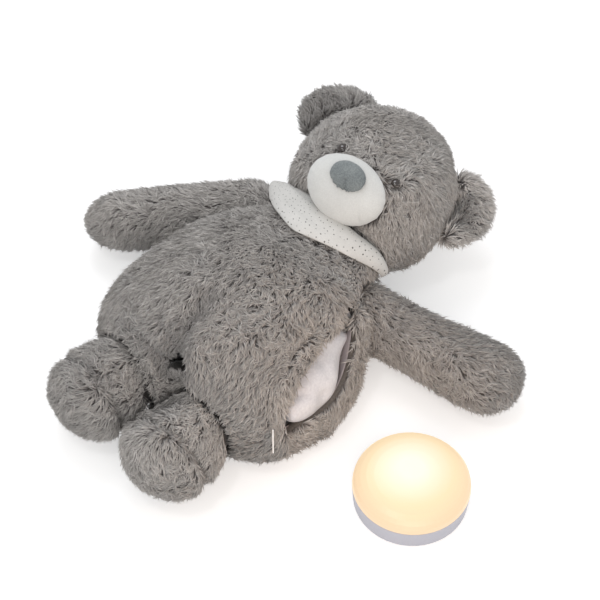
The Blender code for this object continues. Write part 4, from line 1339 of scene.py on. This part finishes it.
@dataclass
class FlankPocket:
    """The light's pocket: a plush roll with its facing, a loose satin lining and the bag."""

    flap: float = 0.0045
    roll: float = 0.0085
    facing: float = 0.0016
    lining: float = 0.006

    def build(self) -> tuple[Band, Band]:
        """Makes the pocket's pieces.

        Returns:
            The roll and the loose edge above it, which the pile grows on.
        """
        flap = Band("pocket_flap", FLAP_ROWS, self.flap, BACKING, "plush", (0.6, 0.0, 0.8))
        flap.build()
        side = (1.0, -0.2, 0.2)
        roll = {"square": 2.6, "folds": 0.0012}
        lip = Band("pocket_lip", LIP_ROWS, self.roll, BACKING, "plush", side, **roll)
        facing = Band(
            "pocket_facing",
            FACING_ROWS,
            self.facing,
            TAPE,
            "closure_tape",
            (-1.0, 0.2, 1.0),
            folds=0.0005,
            facets=(72, 20),
        )
        lining = Band(
            "pocket_lining",
            LINING_ROWS,
            self.lining,
            SATIN,
            "satin",
            (1.0, -0.2, 0.8),
            crown=0.0045,
            folds=0.0026,
            fold_length=0.017,
            fold_width=0.012,
            facets=(96, 48),
            marks=LINING_FOLDS,
        )
        lip.build()
        facing.build()
        lining.build()
        self._bag()
        return lip, flap

    def _bag(self) -> None:
        """Makes the satin bag, rippled as a loose cloth and sewn in a little inside the mouth."""
        bag = cad_copy("pocket_bag", "light_pocket")
        bm = bmesh.new()
        bm.from_mesh(bag.data)
        bmesh.ops.subdivide_edges(bm, edges=bm.edges, cuts=2, use_grid_fill=True)
        for vert in bm.verts:
            vert.co += noise.noise_vector(vert.co * 70) * 0.0007
            vert.co.x -= max(0.0, vert.co.x - 0.02) * 0.14
        bm.to_mesh(bag.data)
        bm.free()
        dress(bag, SATIN, "body", "light_pocket")

    def give_way(self) -> None:
        """Gives each loose piece a mesh of its own."""
        for name in ("pocket_lip", "pocket_lip_pile", "pocket_facing"):
            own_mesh(bpy.data.objects[name])
        for name in ("pocket_flap", "pocket_flap_pile"):
            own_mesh(bpy.data.objects[name])
        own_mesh(bpy.data.objects["pocket_lining"])


@dataclass
class Bear:
    """The stuffed bear: its forms, its cloth pieces and the pile.

    The small forms have their own voxel, the depth they are drawn in by and the cap on how
    far they swell, and the velours how often they are smoothed.
    """

    strand: Strand = field(default_factory=Strand)
    limb_voxel: float = 0.0035
    ear: tuple[float, float, float] = (0.003, 0.0024, 0.002)
    muzzle: tuple[float, float, float, int] = (0.0014, 0.0003, 0.001, 7)
    nose: tuple[float, float, float, int] = (0.0006, -0.0003, 0.0002, 12)

    def build(self) -> None:
        """Makes every stuffed form, the cloth pieces and then the pile."""
        forms = self._forms()
        for form in forms:
            form.start()
        simulate(forms)
        for form in forms:
            form.close()
        Bandana().build()
        for node, sunk in EYES.items():
            self._eye(node, sunk)
        pocket = FlankPocket()
        grounds = {form.name: form for form in (*forms, *pocket.build())}
        tuft = self.strand.build()
        for pile in self._piles(grounds):
            pile.grow(tuft, self.strand.width)
        bpy.data.objects.remove(tuft)
        pocket.give_way()

    def _forms(self) -> list[StuffedForm]:
        """Says how each stuffed piece is sewn: the body, the limbs and then the face."""
        velours = (
            ("muzzle", self.muzzle, VELOUR_WHITE, "velour_white", MUZZLE_SEAMS),
            ("nose", self.nose, VELOUR_GREY, "velour_grey", NOSE_SEAMS),
        )
        return [
            StuffedForm("torso", "body", marks=CROTCH_FOLDS),
            StuffedForm("head", "head", draw_in=0.003, marks=JAW_SEAM),
            StuffedForm("left_ear", "head", *self.ear, marks=LEFT_CUP),
            StuffedForm("right_ear", "head", *self.ear, marks=RIGHT_CUP),
            StuffedForm("left_arm", "left_arm", self.limb_voxel),
            StuffedForm("right_arm", "right_arm", self.limb_voxel),
            StuffedForm("left_leg", "left_leg", self.limb_voxel, 0.0026, marks=LEFT_SOLE),
            StuffedForm("right_leg", "right_leg", self.limb_voxel, 0.0026, marks=RIGHT_SOLE),
            *(
                StuffedForm(name, "head", *sizes, finish, slot, 0.8, seams)
                for name, sizes, finish, slot, seams in velours
            ),
        ]

    def _eye(self, node: str, sunk: float) -> None:
        """Makes a polished bead of the CAD bead's size, sewn a little way into the head."""
        low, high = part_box(node)
        inwards = (sum(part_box("head"), Vector()) - low - high).normalized() * sunk
        bm = bmesh.new()
        bmesh.ops.create_uvsphere(bm, u_segments=40, v_segments=24, radius=0.5)
        bmesh.ops.scale(bm, verts=bm.verts, vec=high - low)
        bmesh.ops.translate(bm, verts=bm.verts, vec=(low + high) / 2 + inwards)
        bead = from_bmesh(f"{node}_bead", bm)
        bead.data.shade_smooth()
        dress(bead, EYE_BEAD, "head", node)

    def _piles(self, grounds: dict[str, StuffedForm | Band]) -> list[Pile]:
        """Says how the pile lies on each form, and with which seed it grows."""
        quarters = tuple(
            (f"pile_{end}_{name}", (x, y, 0.0))
            for end, y in (("chest", 1.0), ("seat", -1.0))
            for name, x in (("left", 1.0), ("right", -1.0))
        )
        halves = (("pile_left", (1.0, 0.0, 0.0)), ("pile_right", (-1.0, 0.0, 0.0)))
        piles = [
            Pile(
                grounds["torso"],
                (0.25, -1.0, -0.2),
                1,
                (*LIMBS, "head", "bandana_cloth", "light_pocket", "care_label"),
                tone=-0.1,
                panels=quarters,
                split=(-0.008, -0.018, 0.0),
            ),
            Pile(
                grounds["head"],
                (0.3, 0.0, -0.8),
                2,
                ("muzzle", "torso", "bandana_cloth", "right_eye"),
                tone=0.1,
                panels=halves,
                bare=("left_eye",),
            ),
        ]
        for seed, name, comb, tone, inner in (
            (3, "left_ear", (0.79, 0.3, -0.2), 0.6, (68, 153, 52)),
            (4, "right_ear", (-0.7, 0.5, 0.1), -0.15, (-44, 140, 72)),
        ):
            ear = Pile(grounds[name], comb, seed, tone=tone, length=0.0085, lean=1.0, inner=inner)
            piles.append(ear)
        piles += [
            Pile(
                grounds["pocket_lip"],
                (0.9, -0.3, -0.1),
                9,
                ("left_arm", "care_label"),
                lean=1.1,
                bare=("pocket_facing",),
                bare_ring=0.0025,
            ),
            Pile(grounds["pocket_flap"], (0.6, -0.8, -0.5), 10, ("pocket_lining",)),
        ]
        for seed, name in enumerate(LIMBS, 5):
            comb, tone = LIMB_PILES[name]
            panels = halves if "arm" in name else WHOLE
            piles.append(Pile(grounds[name], comb, seed, ("torso",), tone, panels=panels))
        return piles


def dress_nodes() -> None:
    """Gives every CAD node that stays its own material."""
    low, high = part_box("diffuser_dome")
    centre = Vector(((low.x + high.x) / 2, (low.y + high.y) / 2, 0.0)) + GLOW_SHIFT
    lit = LitDiffuser("opal_polycarbonate_lit", centre, (high.x - low.x) / 2)
    finishes = {**NODE_FINISHES, "diffuser_dome": lit}
    for name, node in frame["nodes"].items():
        if node.hide_render:
            continue
        made = finishes[max((key for key in finishes if name.startswith(key)), key=len)]
        for slot in node.material_slots:
            slot.link = "OBJECT"
            slot.material = made.material()


def main() -> None:
    """Builds the bear, dresses the night light and sets up the studio."""
    logging.basicConfig(level=logging.INFO, format="%(message)s")
    Bear().build()
    dress_nodes()
    Studio().build()


if __name__ == "__main__":
    main()
